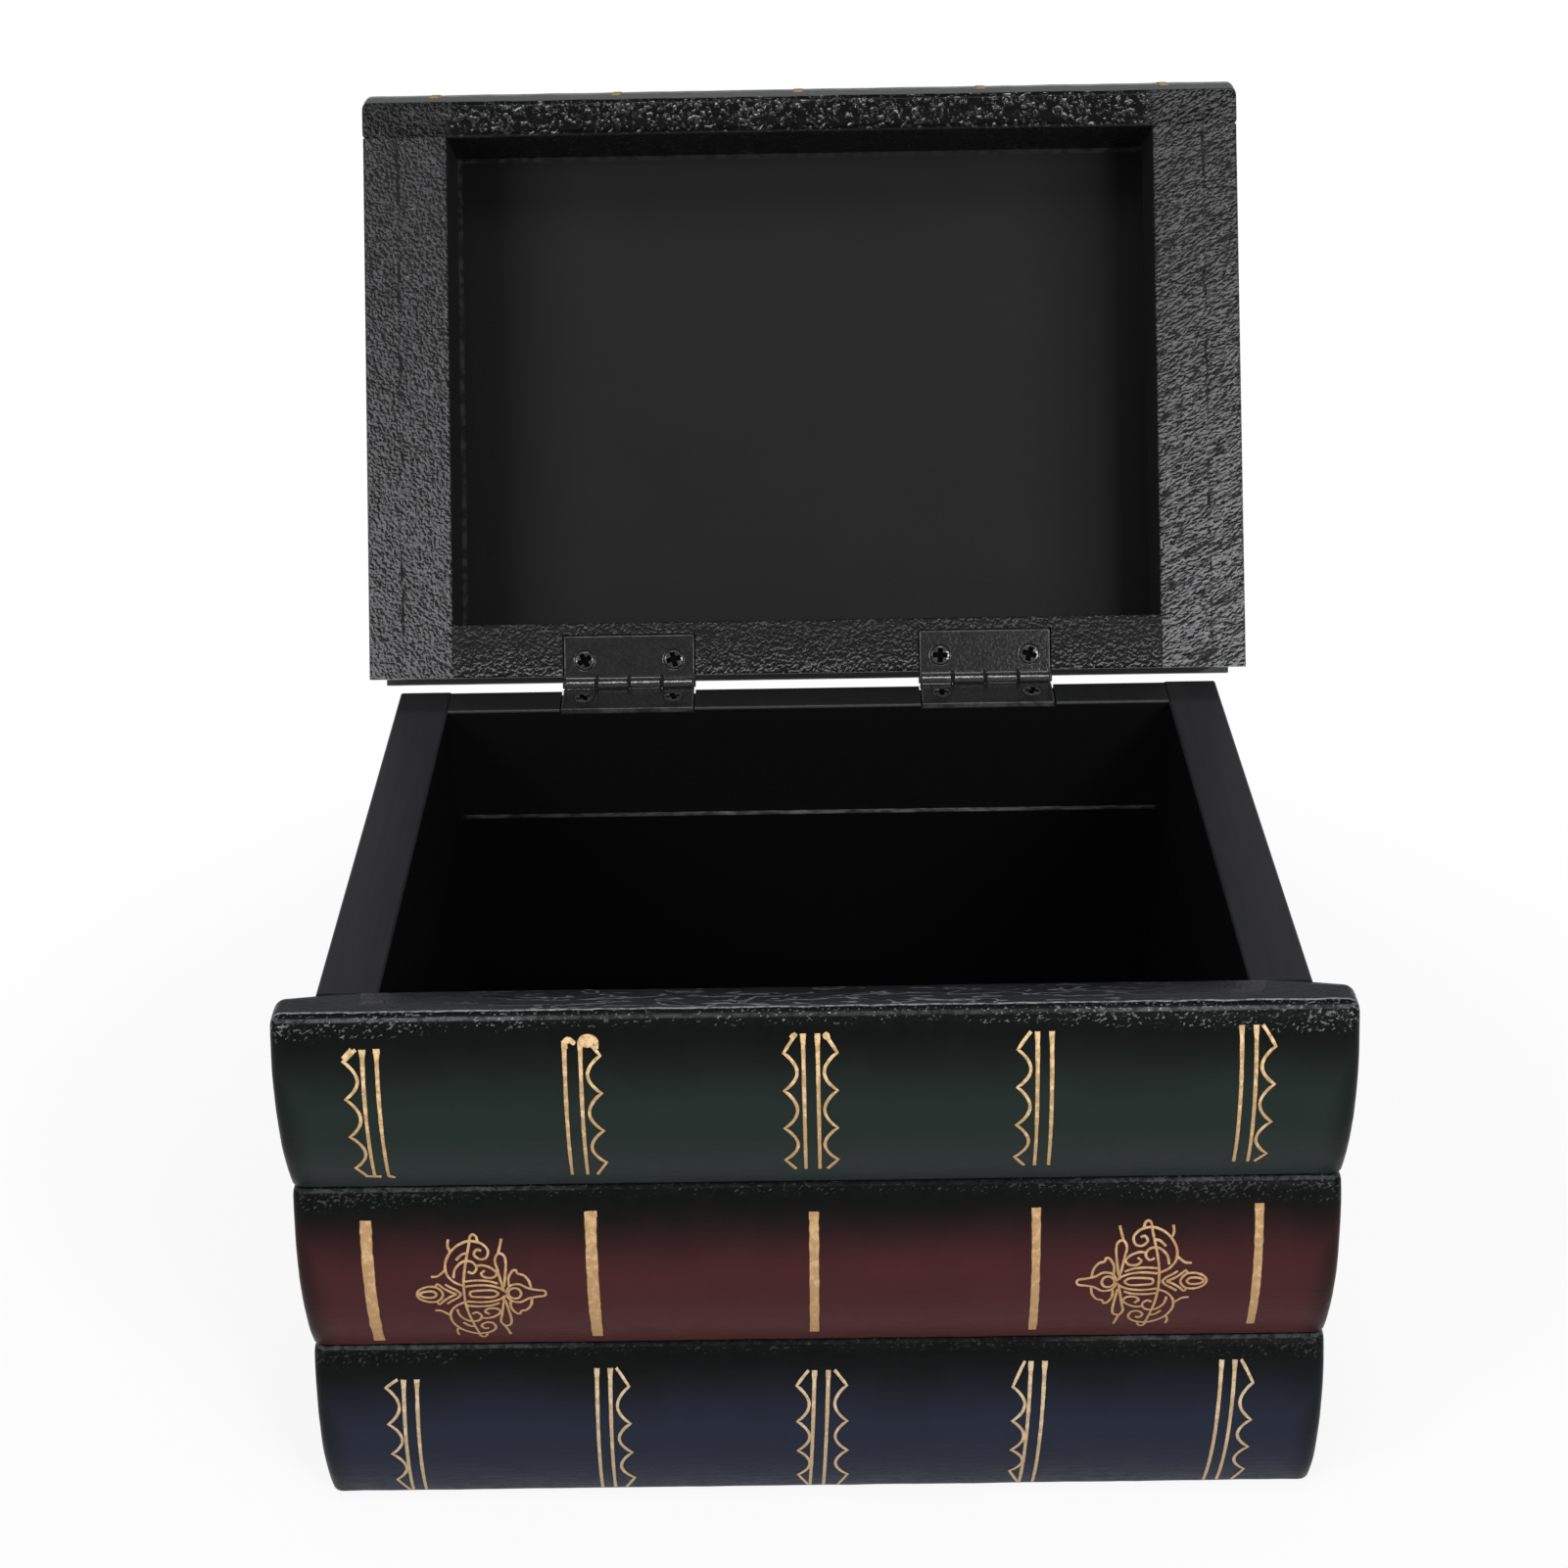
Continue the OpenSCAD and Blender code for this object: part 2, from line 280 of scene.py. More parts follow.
def add_lamp(name, azimuth, elevation, distance, side, watts):
    """A square soft lamp that looks at the box from a direction given in degrees."""
    lamp_data = bpy.data.lights.new(name, "AREA")
    lamp_data.shape = "SQUARE"
    lamp_data.size = side
    lamp_data.energy = watts
    lamp = bpy.data.objects.new(name, lamp_data)
    bpy.context.scene.collection.objects.link(lamp)
    a, e = math.radians(azimuth), math.radians(elevation)
    back = Vector((math.sin(a) * math.cos(e), -math.cos(a) * math.cos(e), math.sin(e)))
    lamp.location = back * distance + AIM
    lamp.rotation_euler = (-back).to_track_quat("-Z", "Y").to_euler()


add_lamp("left_softbox", -46, 32, 1.4, 0.4, 7.0)
add_lamp("right_softbox", 34, 30, 1.4, 0.4, 10.5)
add_lamp("overhead_softbox", 0, 74, 1.6, 0.6, 8.0)
print("studio is lit")

# %% [markdown]
# ## Working on meshes
# Each wooden piece starts as a cube at its real size and is cut, pushed and bevelled in edit mode,
# as it would be by hand. Picking faces and edges by where they lie or which way they run stands
# for clicking on them. Bisecting is used for all slicing, because it also cuts faces with many
# corners, which Subdivide leaves whole.

# %% Mesh helpers
def choose(piece):
    """Selects one piece and nothing else, as a click on it would."""
    bpy.ops.object.select_all(action="DESELECT")
    piece.select_set(True)
    bpy.context.view_layer.objects.active = piece


@contextmanager
def editing(piece):
    """Opens one piece in edit mode and closes it again."""
    choose(piece)
    bpy.ops.object.mode_set(mode="EDIT")
    yield
    bpy.ops.object.mode_set(mode="OBJECT")


def modify(piece, kind, **settings):
    """Gives a piece a modifier with these settings and applies it."""
    choose(piece)
    modifier = piece.modifiers.new(kind.lower(), kind)
    for key, value in settings.items():
        setattr(modifier, key, value)
    bpy.ops.object.modifier_apply(modifier=modifier.name)


def pick(kind, test):
    """In edit mode, selects only the VERT, EDGE or FACE parts that pass a test."""
    bpy.ops.mesh.select_mode(type=kind)
    bpy.ops.mesh.select_all(action="DESELECT")
    data = bpy.context.edit_object.data
    shape = bmesh.from_edit_mesh(data)
    parts = {"VERT": shape.verts, "EDGE": shape.edges, "FACE": shape.faces}[kind]
    for part in [part for part in parts if test(part)]:
        part.select_set(True)
    bmesh.update_edit_mesh(data)


def shift(*way):
    """In edit mode, moves what is picked."""
    bpy.ops.transform.translate(value=way)


def at(part, axis, place, slack=0.02 * MM):
    """True where all of a part lies at one place along X, Y or Z (0, 1 or 2)."""
    corners = part.verts if hasattr(part, "verts") else [part]
    return all(abs(corner.co[axis] - place) < slack for corner in corners)


def span(edge, axis):
    """How far an edge reaches along an axis."""
    return abs(edge.verts[1].co[axis] - edge.verts[0].co[axis])


def add_block(name, low, high):
    """A cube stretched from its lowest to its highest corner, ready to be shaped."""
    low, high = Vector(low), Vector(high)
    bpy.ops.object.select_all(action="DESELECT")
    bpy.ops.mesh.primitive_cube_add(size=1, location=(low + high) / 2, scale=high - low)
    block = bpy.context.object
    block.name = name
    bpy.ops.object.transform_apply(location=True, rotation=True, scale=True)
    return block


def slice_across(piece, axis, places):
    """Cuts a piece with planes square to an axis, which leaves its shape as it was."""
    normal = Vector((0, 0, 0))
    normal[axis] = 1
    with editing(piece):
        for place in places:
            bpy.ops.mesh.select_all(action="SELECT")
            bpy.ops.mesh.bisect(plane_co=normal * place, plane_no=normal)


def even_places(start, end, step):
    """Places from start to end, without the two ends, about a step apart."""
    count = max(1, round(abs(end - start) / step))
    return [start + (end - start) * n / count for n in range(1, count)]


def roughen(piece, amount, lump, seed):
    """Pushes the surface in and out a little, so that it looks sanded and painted by hand."""
    clouds = bpy.data.textures.new(piece.name + "_clouds", "CLOUDS")
    clouds.noise_scale = lump
    clouds.noise_depth = 2
    origin = bpy.data.objects.new(piece.name + "_shift", None)
    bpy.context.scene.collection.objects.link(origin)
    origin.location = (seed * 0.37, seed * 0.11, seed * 0.23)
    bpy.context.view_layer.update()
    from_origin = {"texture_coords": "OBJECT", "texture_coords_object": origin}
    modify(piece, "DISPLACE", texture=clouds, strength=amount, **from_origin)
    bpy.data.objects.remove(origin)


def cut_out(piece, low, high):
    """Cuts a box-shaped bed out of a piece."""
    cutter = add_block("cutter", low, high)
    modify(piece, "BOOLEAN", object=cutter, solver="EXACT")
    bpy.data.objects.remove(cutter)


SMOOTH_UP_TO = 35


def smooth(piece, degrees=None):
    """Shades a piece smooth, all over or up to an angle."""
    choose(piece)
    if degrees is None:
        bpy.ops.object.shade_smooth()
    else:
        bpy.ops.object.shade_smooth_by_angle(angle=math.radians(degrees))


def finish_with(piece, finish):
    """Gives a piece one finish all over."""
    piece.data.materials.clear()
    piece.data.materials.append(finish)


def finish_faces(piece, finish, test):
    """Gives the faces that pass a test a finish of their own, and counts them."""
    piece.data.materials.append(finish)
    chosen = [face for face in piece.data.polygons if test(face)]
    for face in chosen:
        face.material_index = len(piece.data.materials) - 1
    return len(chosen)


def copy_of(piece, name, move=(0, 0, 0)):
    """A copy with a mesh of its own, moved in its mesh."""
    twin = piece.copy()
    twin.data = piece.data.copy()
    twin.name = name
    bpy.context.scene.collection.objects.link(twin)
    twin.data.transform(Matrix.Translation(move))
    return twin


def hand_over(piece, node, body):
    """Puts a finished piece in the place of a node of the frame."""
    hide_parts(node)
    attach(piece, body)
    print(piece.name, "has", len(piece.data.polygons), "faces")


print("mesh helpers ready")

# %% [markdown]
# ## The lid, closed and open
# The lid stands open at rest, but it is far easier to model a lid that lies flat. So each of its
# pieces is made as if the lid were closed and then swung up about the hinge axis. An empty could
# carry the turn, but the finished pieces have their place in their meshes, so the turn is applied.
# The finishes get the same help: a Mapping node swings each point back down before any pattern.

# %% Swinging the lid
hinge = frame["joints"][0]
HINGE_AXIS_PLACE = Vector(hinge["pos_m"])
OPEN_ANGLE = math.radians(-hinge["range_deg"][0])
LID_SWING = (
    Matrix.Translation(HINGE_AXIS_PLACE)
    @ Matrix.Rotation(-OPEN_ANGLE, 4, "X")
    @ Matrix.Translation(-HINGE_AXIS_PLACE)
)


def closed_box(node):
    """Lowest and highest corner of one of the lid's nodes, as it is when the lid is closed."""
    back_down = LID_SWING.inverted()
    corners = [back_down @ vertex.co for vertex in frame["nodes"][node].data.vertices]
    return [Vector(map(end, *corners)) for end in (min, max)]


def open_up(piece):
    """Swings a piece that was made closed up to where the open lid has it."""
    piece.matrix_world = LID_SWING
    choose(piece)
    bpy.ops.object.transform_apply(location=True, rotation=True, scale=True)


def closed_place(tree):
    """Where a point of the lid is on the closed box, in metres."""
    moved = HINGE_AXIS_PLACE - Matrix.Rotation(OPEN_ANGLE, 3, "X") @ HINGE_AXIS_PLACE
    inputs = {"Vector": object_place(tree), "Location": moved, "Rotation": (OPEN_ANGLE, 0, 0)}
    return add_node("Mapping", inputs)


lid_reach = [tuple(round(v / MM, 1) for v in corner) for corner in closed_box("lid_top_cover")]
print("closed lid reaches from", lid_reach[0], "to", lid_reach[1], "mm")

# %% [markdown]
# ## The coarse black of the lid
# The underside of the lid is brushed with thick black that dried in pimples and streaks. A fine
# bump would look like leather, and a coarse one like rock, so the sizes matter: the lumps are under
# a millimetre, and lie along the way the brush went, which is different on each board. The side of
# each lump that faces the lid's front is painted grey as a painted highlight, brighter towards the
# hinge and on the right board, while the side behind it is painted black as painted shade. The same
# noise read twice, the second time a little further on, gives that slope. A few lumps have a painted
# glint. Long drying cracks cross the right board, and a seam runs along both sides, where the cover
# strip meets the page block.

# %% Coarse paint
# Painted light: the greys are painted highlights on the lit side of each lump, far from and near the
# hinge. The black below is painted shade on the other side, and it also fills the cracks and seams.
# The glint grey is a painted glint.
LEFT_HIGHLIGHT_GREYS = ((0.057, 0.057, 0.060), (0.125, 0.125, 0.130))
RIGHT_HIGHLIGHT_GREYS = ((0.080, 0.080, 0.083), (0.180, 0.180, 0.185))
DEEP_BLACK, SHADE_AND_JOINT_BLACK = (0.004, 0.004, 0.0042), (0.002, 0.002, 0.002)
GLINT_GREY = (0.34, 0.34, 0.35)
LEFT_COAT = (math.radians(-50), 1.2, 0.66 * MM, 0.12 * MM)
RIGHT_COAT = (math.radians(27), 2.0, 0.62 * MM, 0.12 * MM)
CRACK_DEPTH = 0.12 * MM
COARSE_SPECULAR = 0.2
LID_FOOT = closed_box("lid_rear_rail")[0].z


def coarse_coat(turn, length, size, depth, bare=0.38, where=None, toned=LEFT_HIGHLIGHT_GREYS,
                over=(-62 * MM, 60 * MM), glints=0.5, cracks=0.0, seam=0.0, steep=(-0.09, 0.10)):
    """Thick black with the pimples drawn out along the brush, as a layer for other paints.

    Bare is how much stays flat between the pimples, and where gives the part of a piece that has the
    coat. The greys that follow are a painted highlight on the lit side of each lump, far from and
    near the hinge, and over the places along Y between which one turns into the other. Cracks is how
    deep the drying cracks are, seam how far from the middle the joint of a cover strip runs, and
    steep the slopes at which the painted highlight starts and is full."""

    def layer(place, below, colour, rough):
        share = where(place) if where else 1.0
        amount = fade(place.y, *over)
        brushed = stretched(place, (1 / length, 1, 1), (0, 0, turn))
        lumps = grain(brushed, size, detail=1.5, distortion=0.5)
        further_on = add_node("VectorMath", {0: brushed, 1: (0, size * 0.5, 0)}, "Vector")
        slope = grain(further_on, size, detail=1.5, distortion=0.5) - lumps
        lift = fade(amount, 0.0, 1.0, low=-0.03, high=0.02)
        uneven = lumps + (mottle(brushed, size * 5, -0.04, 0.04) + lift)
        heaps = fade(uneven, bare, bare + 0.26)
        bump = relief(heaps * share, depth, below=below)
        # Painted shade: the side of each lump that faces away is painted black, the rest painted
        # highlight grey.
        shade_and_joints = fade(slope + (uneven - 0.5) * 0.4, steep[1], steep[0])
        if cracks:
            wandering = grain(stretched(place, (0.16, 1, 1), (0, 0, turn)), 2.6 * MM, detail=1)
            line = fade(abs(wandering - 0.5), 0.035, 0.0)
            bump = relief(line * share, -cracks, below=bump)
            shade_and_joints = larger(shade_and_joints, line)
        if seam:
            off = abs(abs(place.x) - (mottle(place, 8 * MM, -0.6 * MM, 0.6 * MM) + seam))
            broken = mottle(place, 3 * MM, 0.4, detail=3, cut=(0.42, 0.6))
            joint = fade(off, 0.6 * MM, 0.2 * MM) * broken
            bump = relief(joint * share, -0.15 * MM, below=bump)
            shade_and_joints = larger(shade_and_joints, joint)
        # Painted glints on a few lumps.
        sparse = mottle(place, 2.6 * MM, detail=1, cut=(0.5, 0.62))
        glint = fade(abs(uneven - 0.61), 0.022, 0.0) * sparse * glints
        lump_highlights = blend(glint, blend(amount, *toned), GLINT_GREY)
        black = blend(shade_and_joints, lump_highlights, SHADE_AND_JOINT_BLACK)
        rough = mix(share, rough, fade(shade_and_joints, 0.0, 1.0, low=0.22, high=0.6))
        beads = fade(heaps, 0.1, 0.5, low=0.1) * share
        return bump, blend(share, colour, black), rough, beads, share

    return layer


def coarse_paint(name, coat):
    """A coarse coat with nothing below it."""
    finish, place = new_finish(name, closed_place)
    even = relief(grain(place, 4 * MM), 0.05 * MM)
    bump, colour, rough, *_ = coat(place, even, DEEP_BLACK, 0.3)
    coat_shader(colour, rough, bump, specular=COARSE_SPECULAR)
    return finish


def on_underside(place):
    """1 on the lid's underside, where the coarse coat is."""
    return fade(place.z, LID_FOOT + 0.9 * MM, LID_FOOT + 0.5 * MM)


print("coarse coat ready")

# %% [markdown]
# ## The paint of the books
# Each book is painted in one dark colour, with another tone at the foot as a painted reflection of
# the pale floor, and then sprayed with black from above, so that its top edge and its ends are
# nearly black. The black could be painted on as a texture, but here it follows from the place alone:
# how high a point lies in its book and how near it is to an end. Under the colour lie fine ripples
# along the spine. Near the top edge runs a thin pale line of painted highlight, on the green book
# where its rounded top begins, and broken on the others. Small raised flecks lie below it, painted
# pale as glints, most of them towards the ends.

# %% Book paint
# The foot colours are a painted reflection of the pale floor. The line grey is a painted highlight
# near the top edge, and the fleck grey is a painted glint.
GREEN, GREEN_FOOT_REFLECTION = (0.0150, 0.0232, 0.0195), (0.0215, 0.0270, 0.0272)
MAROON, MAROON_FOOT_REFLECTION = (0.055, 0.0155, 0.0175), (0.062, 0.0205, 0.0205)
NAVY, NAVY_FOOT_REFLECTION = (0.0165, 0.0205, 0.0350), (0.0155, 0.019, 0.034)
SPRAYED_BLACK = (0.0042, 0.0050, 0.0044)
HIGHLIGHT_LINE_GREY, FLECK_GLINT_GREY = (0.26, 0.27, 0.28), (0.15, 0.155, 0.155)
HIGHLIGHT_LINE_LEVEL = 0.979
SPINE_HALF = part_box("spine_green")[1].x


def book_paint(name, colour, foot_reflection_colour, foot, place_of, height, highlight_line_middle, glint_fleck_share,
               layer=None, lacquered=(0.0, 0.0)):
    """Dark paint on a spine that stands on foot, sprayed black towards its edges, under a layer.

    Towards the foot the paint turns to the foot colour, a painted reflection of the floor. The
    middle share is how much of the painted highlight line is left in the middle of the spine, and
    lacquered how much of a clear coat lies over the whole of it and at its foot."""
    finish, place = new_finish(name, place_of)
    across = place.x
    level = (place.z - foot) / height
    ragged = level + mottle(place, 14 * MM, -0.02, 0.02, detail=3)
    from_end = SPINE_HALF - abs(across)
    spray = larger(fade(ragged, 0.5, 0.92), fade(from_end, 7 * MM, 0.0, high=0.75))
    cloudy = blend(grain(place, 9 * MM, detail=4), colour, [c * 0.78 for c in colour])
    # Painted reflection of the floor towards the foot.
    cloudy = blend(fade(level, 0.42, 0.08, high=0.9), cloudy, foot_reflection_colour)
    painted = blend(spray, cloudy, SPRAYED_BLACK)
    sheen = mottle(place, 2.5 * MM, 0.3, 0.42)
    skin = relief(grain(stretched(place, (0.12, 1, 1)), 1.2 * MM), 0.07 * MM)
    skin = relief(grain(place, 0.9 * MM, detail=1), 0.04 * MM, below=skin)
    # Raised flecks, painted pale as glints, crowd below the top edge and towards the ends.
    to_right = fade(across, 20 * MM, 98 * MM, low=0.05, high=0.12)
    reach = larger(to_right, fade(across, -50 * MM, -98 * MM, low=0.05, high=0.1))
    crowd = fade((HIGHLIGHT_LINE_LEVEL - level) / reach, 1.0, 0.15)
    crowd = crowd * mottle(place, 11 * MM, 0.25, cut=(0.36, 0.6))
    crowd = crowd * fade(from_end, 80 * MM, 25 * MM, low=0.3)
    drawn = stretched(place, (0.6, 1, 1), (0, 0.5, 0))
    dots = grain(drawn, 0.52 * MM, detail=1) + crowd * 0.12
    glint_flecks = fade(dots, 0.64, 0.74) * (fade(crowd, 0.0, 0.15) * glint_fleck_share)
    # A painted highlight line near the top edge, fullest towards the ends.
    whole = fade(from_end, 62 * MM, 35 * MM, low=highlight_line_middle, high=0.15 + highlight_line_middle)
    painted_highlight_line = fade(abs(level - HIGHLIGHT_LINE_LEVEL), 0.009, 0.003) * whole
    painted_highlight_line = painted_highlight_line * mottle(place, 1.6 * MM, 0.3, detail=3, cut=(0.38, 0.58))
    grey = mottle(place, 1.3 * MM, 0.35, cut=(0.35, 0.65))
    painted = blend(painted_highlight_line, blend(glint_flecks * grey, painted, FLECK_GLINT_GREY), HIGHLIGHT_LINE_GREY)
    glossy = larger(fade(level, 0.3, 0.08, *lacquered), larger(glint_flecks, painted_highlight_line * 0.5))
    skin = relief(glint_flecks, 0.06 * MM, below=skin)
    if layer:
        skin, painted, sheen, gloss_above, covered = layer(place, skin, painted, sheen)
        glossy = mix(covered, glossy, gloss_above)
    coat_shader(painted, sheen, skin, specular=0.05, lacquer=glossy)
    return finish


# Painted light on the rim: the wrinkle greys are painted light and shade, the crest grey a painted
# highlight, and the end grey a painted reflection.
WRINKLE_LIGHT_AND_SHADE_GREYS = ((0.0235, 0.0245, 0.0275), (0.0165, 0.0172, 0.0195))
CREST_HIGHLIGHT_GREY, END_REFLECTION_GREY = (0.19, 0.195, 0.205), (0.048, 0.049, 0.055)
BODY_EDGE_THICKNESS, LID_EDGE_THICKNESS = 8.2 * MM, 7.8 * MM
TOP_EDGE_ROUND = 2.4 * MM
HIGHLIGHT_LINE_FROM_BACK, HIGHLIGHT_STREAK_FROM_BACK = 6.4 * MM, 2.2 * MM


def rim_layer(place, below, colour, rough):
    """Satin black with long wrinkles on the green book's top, up to a pale line in front.

    The wrinkles carry painted light and shade, their crests and a streak near the back are painted
    highlights, the ends are a paler grey as painted reflection, and the pale line is a painted
    highlight.
    """
    along = place.y
    high_up = fade(place.z, green_high.z - 0.9 * MM, green_high.z - 0.5 * MM)
    wander = mottle(place, 5 * MM, -0.12 * MM, 0.12 * MM, detail=3)
    behind_line = along + wander - (green_high.y - HIGHLIGHT_LINE_FROM_BACK)
    on_top = high_up * fade(behind_line, -0.15 * MM, 0.05 * MM)
    # A painted highlight streak near the back of the rim, mixed into the wrinkles.
    highlight_streak = fade(abs(along - (green_high.y - HIGHLIGHT_STREAK_FROM_BACK)), 1.5 * MM, 0.0, high=0.08)
    wrinkles = grain(stretched(place, (0.13, 1, 0.3)), 1.2 * MM, distortion=0.3) + highlight_streak
    middle = fade(abs(place.x), 75 * MM, 45 * MM, low=0.1)
    ridges = fade(wrinkles, 0.42, 0.62) * middle * on_top
    # Painted light: lit and shaded wrinkles, highlighted crests, and ends painted paler as
    # reflection.
    crest_highlight = fade(abs(wrinkles - 0.58), 0.04, 0.0) * middle * 0.8
    black = blend(crest_highlight, blend(fade(wrinkles, 0.3, 0.7), *WRINKLE_LIGHT_AND_SHADE_GREYS), CREST_HIGHLIGHT_GREY)
    black = blend(fade(middle, 1.0, 0.1, high=0.27), black, END_REFLECTION_GREY)
    rough = mix(on_top, rough, fade(wrinkles, 0.3, 0.7, low=0.3, high=0.5))
    # A painted highlight line where the rounded front begins.
    line = high_up * fade(abs(behind_line), 0.27 * MM, 0.12 * MM)
    line = line * mottle(place, 1.6 * MM, 0.35, 0.9, detail=3, cut=(0.38, 0.58))
    painted = blend(line, blend(on_top, colour, black), HIGHLIGHT_LINE_GREY)
    return relief(ridges, 0.16 * MM, below=below), painted, rough, on_top * 0.25, on_top


def behind_spine(place):
    """1 on the flat back of the lid's spine."""
    return fade(place.y, lid_spine_high.y - 0.6 * MM, lid_spine_high.y - 0.2 * MM)


def hidden_side(place):
    """1 on the underside and the back of the lid's spine, which the open lid shows."""
    under = fade(place.z, lid_spine_low.z + 1.1 * MM, lid_spine_low.z + 0.6 * MM)
    return larger(under, behind_spine(place))


# The foot grey is a painted reflection on the lid spine's foot. The glinting greys are painted
# glints, and the corner greys are painted highlights on the lumps, darker than the stiles'.
FOOT_REFLECTION_GREY, BACK_BLACK = (0.085, 0.089, 0.088), (0.012, 0.012, 0.012)
LID_LACQUER = (0.2, 0.6)
GLINTING_GREYS = ((0.30, 0.30, 0.31), (0.30, 0.30, 0.31))
CORNER_HIGHLIGHT_GREYS = ((0.040, 0.040, 0.042), (0.098, 0.098, 0.103))
DEEP_COAT = (math.radians(8), 1.4, 0.85 * MM, 0.12 * MM, 0.46)


def lid_layer(place, below, colour, rough):
    """Deep black with glints below, plain black behind, and the stiles' coats where it meets them.

    The foot of the round face is painted pale grey as a painted reflection."""
    round_foot = fade(place.z, lid_spine_low.z + 7 * MM, lid_spine_low.z + 2 * MM)
    # Painted reflection: the foot of the round face is painted pale grey.
    reflected_foot = blend(round_foot, colour, FOOT_REFLECTION_GREY)
    coat = coarse_coat(*DEEP_COAT, hidden_side, GLINTING_GREYS, glints=0.2, steep=(0.11, 0.25))
    bump, colour, rough, glossy, covered = coat(place, below, reflected_foot, rough)
    colour = blend(behind_spine(place), colour, BACK_BLACK)
    for side, values, greys in ((-1, LEFT_COAT, CORNER_HIGHLIGHT_GREYS), (1, RIGHT_COAT, RIGHT_HIGHLIGHT_GREYS)):
        def corner(place):
            return hidden_side(place) * fade(place.x * side, 80 * MM, 85 * MM)

        coat = coarse_coat(*values, where=corner, toned=greys)
        bump, colour, rough, _, share = coat(place, bump, colour, rough)
        glossy = mix(share, glossy, 0.1)
    return bump, colour, rough, glossy, covered


green_low, green_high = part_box("spine_green")
maroon_low, maroon_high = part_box("spine_maroon")
navy_low, navy_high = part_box("spine_navy")
lid_spine_low, lid_spine_high = closed_box("lid_spine")
BOOK_HEIGHT, LID_SPINE_HEIGHT = green_high.z - green_low.z, lid_spine_high.z - lid_spine_low.z
BODY_PLACE, LID_PLACE = (object_place, BOOK_HEIGHT), (closed_place, LID_SPINE_HEIGHT)
green_paint, maroon_paint, navy_paint, lid_spine_paint = [
    book_paint(name, *values)
    for name, *values in (
        ("green_paint", GREEN, GREEN_FOOT_REFLECTION, green_low.z, *BODY_PLACE, 0.08, 0.75, rim_layer),
        ("maroon_paint", MAROON, MAROON_FOOT_REFLECTION, maroon_low.z, *BODY_PLACE, 0.03, 0.25),
        ("navy_paint", NAVY, NAVY_FOOT_REFLECTION, navy_low.z, *BODY_PLACE, 0.03, 0.15),
        ("lid_spine_paint", GREEN, GREEN_FOOT_REFLECTION, lid_spine_low.z, *LID_PLACE, 0.3, 0.5, lid_layer,
         LID_LACQUER),
    )
]
print("book height", round(BOOK_HEIGHT / MM, 1), "mm, lid", round(LID_SPINE_HEIGHT / MM, 1), "mm")

# %% [markdown]
# ## The spines
# A spine is a strip of wood, flat behind and planed to a shallow arc in front, with its corners
# sanded round, most of all the front edge at the top of a body book. An arc could be extruded from
# a curve, but then the corners would have to be cut off the ends afterwards. Here a cube is sliced
# into level rows, each row of its front is pushed back onto the arc, and the edges are bevelled.
# More slices then let a little roughness in.

# %% Carve a spine
ROW_HEIGHT, COLUMN_WIDTH = 1.25 * MM, 1.8 * MM
HAND_WORK, HAND_REACH = 0.22 * MM, 9 * MM
CORNER_ROUND, LID_CORNER_ROUND = 2.5 * MM, 1.2 * MM
LONG_EDGE_ROUND = 0.8 * MM


def carve_spine(name, low, high, edge_thickness, corner_round, top_round):
    """A strip that swells forward in an arc from its long edges, with round corners."""
    strip = add_block(name, low, high)
    middle, half = (low.z + high.z) / 2, (high.z - low.z) / 2
    swell = high.y - low.y - edge_thickness
    radius = (half**2 + swell**2) / (2 * swell)
    highest = high.z - top_round - 0.2 * MM
    rows = [row for row in even_places(low.z, high.z, ROW_HEIGHT) if row < highest]
    slice_across(strip, 2, rows)
    with editing(strip):
        for row in [low.z, *rows, high.z]:
            pick("VERT", lambda corner: at(corner, 1, low.y) and at(corner, 2, row))
            shift(0, radius - math.sqrt(radius**2 - (row - middle) ** 2), 0)
        pick("EDGE", lambda edge: at_end(edge, high.x) and span(edge, 2) > 0.1 * MM)
        bpy.ops.mesh.bevel(offset=corner_round, segments=5, affect="EDGES")
        for level, round_by in ((low.z, LONG_EDGE_ROUND), (high.z, top_round)):
            pick("EDGE", lambda edge: at(edge, 2, level) and not at(edge, 1, high.y))
            bpy.ops.mesh.bevel(offset=round_by, segments=5, affect="EDGES")
    slice_across(strip, 0, even_places(low.x, high.x, COLUMN_WIDTH))
    return strip


def at_end(edge, half_width):
    """True for an edge that lies in one of a strip's two end faces."""
    return at(edge, 0, half_width) or at(edge, 0, -half_width)


BODY_SHAPE = (BODY_EDGE_THICKNESS, CORNER_ROUND, TOP_EDGE_ROUND)
LID_SHAPE = (LID_EDGE_THICKNESS, LID_CORNER_ROUND, LONG_EDGE_ROUND)
green_spine = carve_spine("green_spine", green_low, green_high, *BODY_SHAPE)
maroon_spine = copy_of(green_spine, "maroon_spine", maroon_low - green_low)
navy_spine = copy_of(green_spine, "navy_spine", navy_low - green_low)
lid_spine = carve_spine("lid_spine_strip", lid_spine_low, lid_spine_high, *LID_SHAPE)
spines = (
    ("spine_green", green_spine, green_paint, "box", "green_paint"),
    ("spine_maroon", maroon_spine, maroon_paint, "box", "maroon_paint"),
    ("spine_navy", navy_spine, navy_paint, "box", "navy_paint"),
    ("lid_spine", lid_spine, lid_spine_paint, "lid", "green_paint"),
)
for seed, (node, strip, paint, body, slot) in enumerate(spines):
    roughen(strip, HAND_WORK, HAND_REACH, seed)
    smooth(strip)
    finish_with(strip, paint)
    hand_over(strip, node, body)

# %% [markdown]
# ## Gilding
# Bands and scrolls are drawn on the spines with a thin brush of gold paint, which dries slightly
# raised. Flat decals would look printed, so every stroke is a round curve, made a mesh, and then
# laid on its spine: each point keeps its place seen from the front, and its roundness is pressed
# down to a fraction of a millimetre. A ray from the front finds where the spine's surface is.

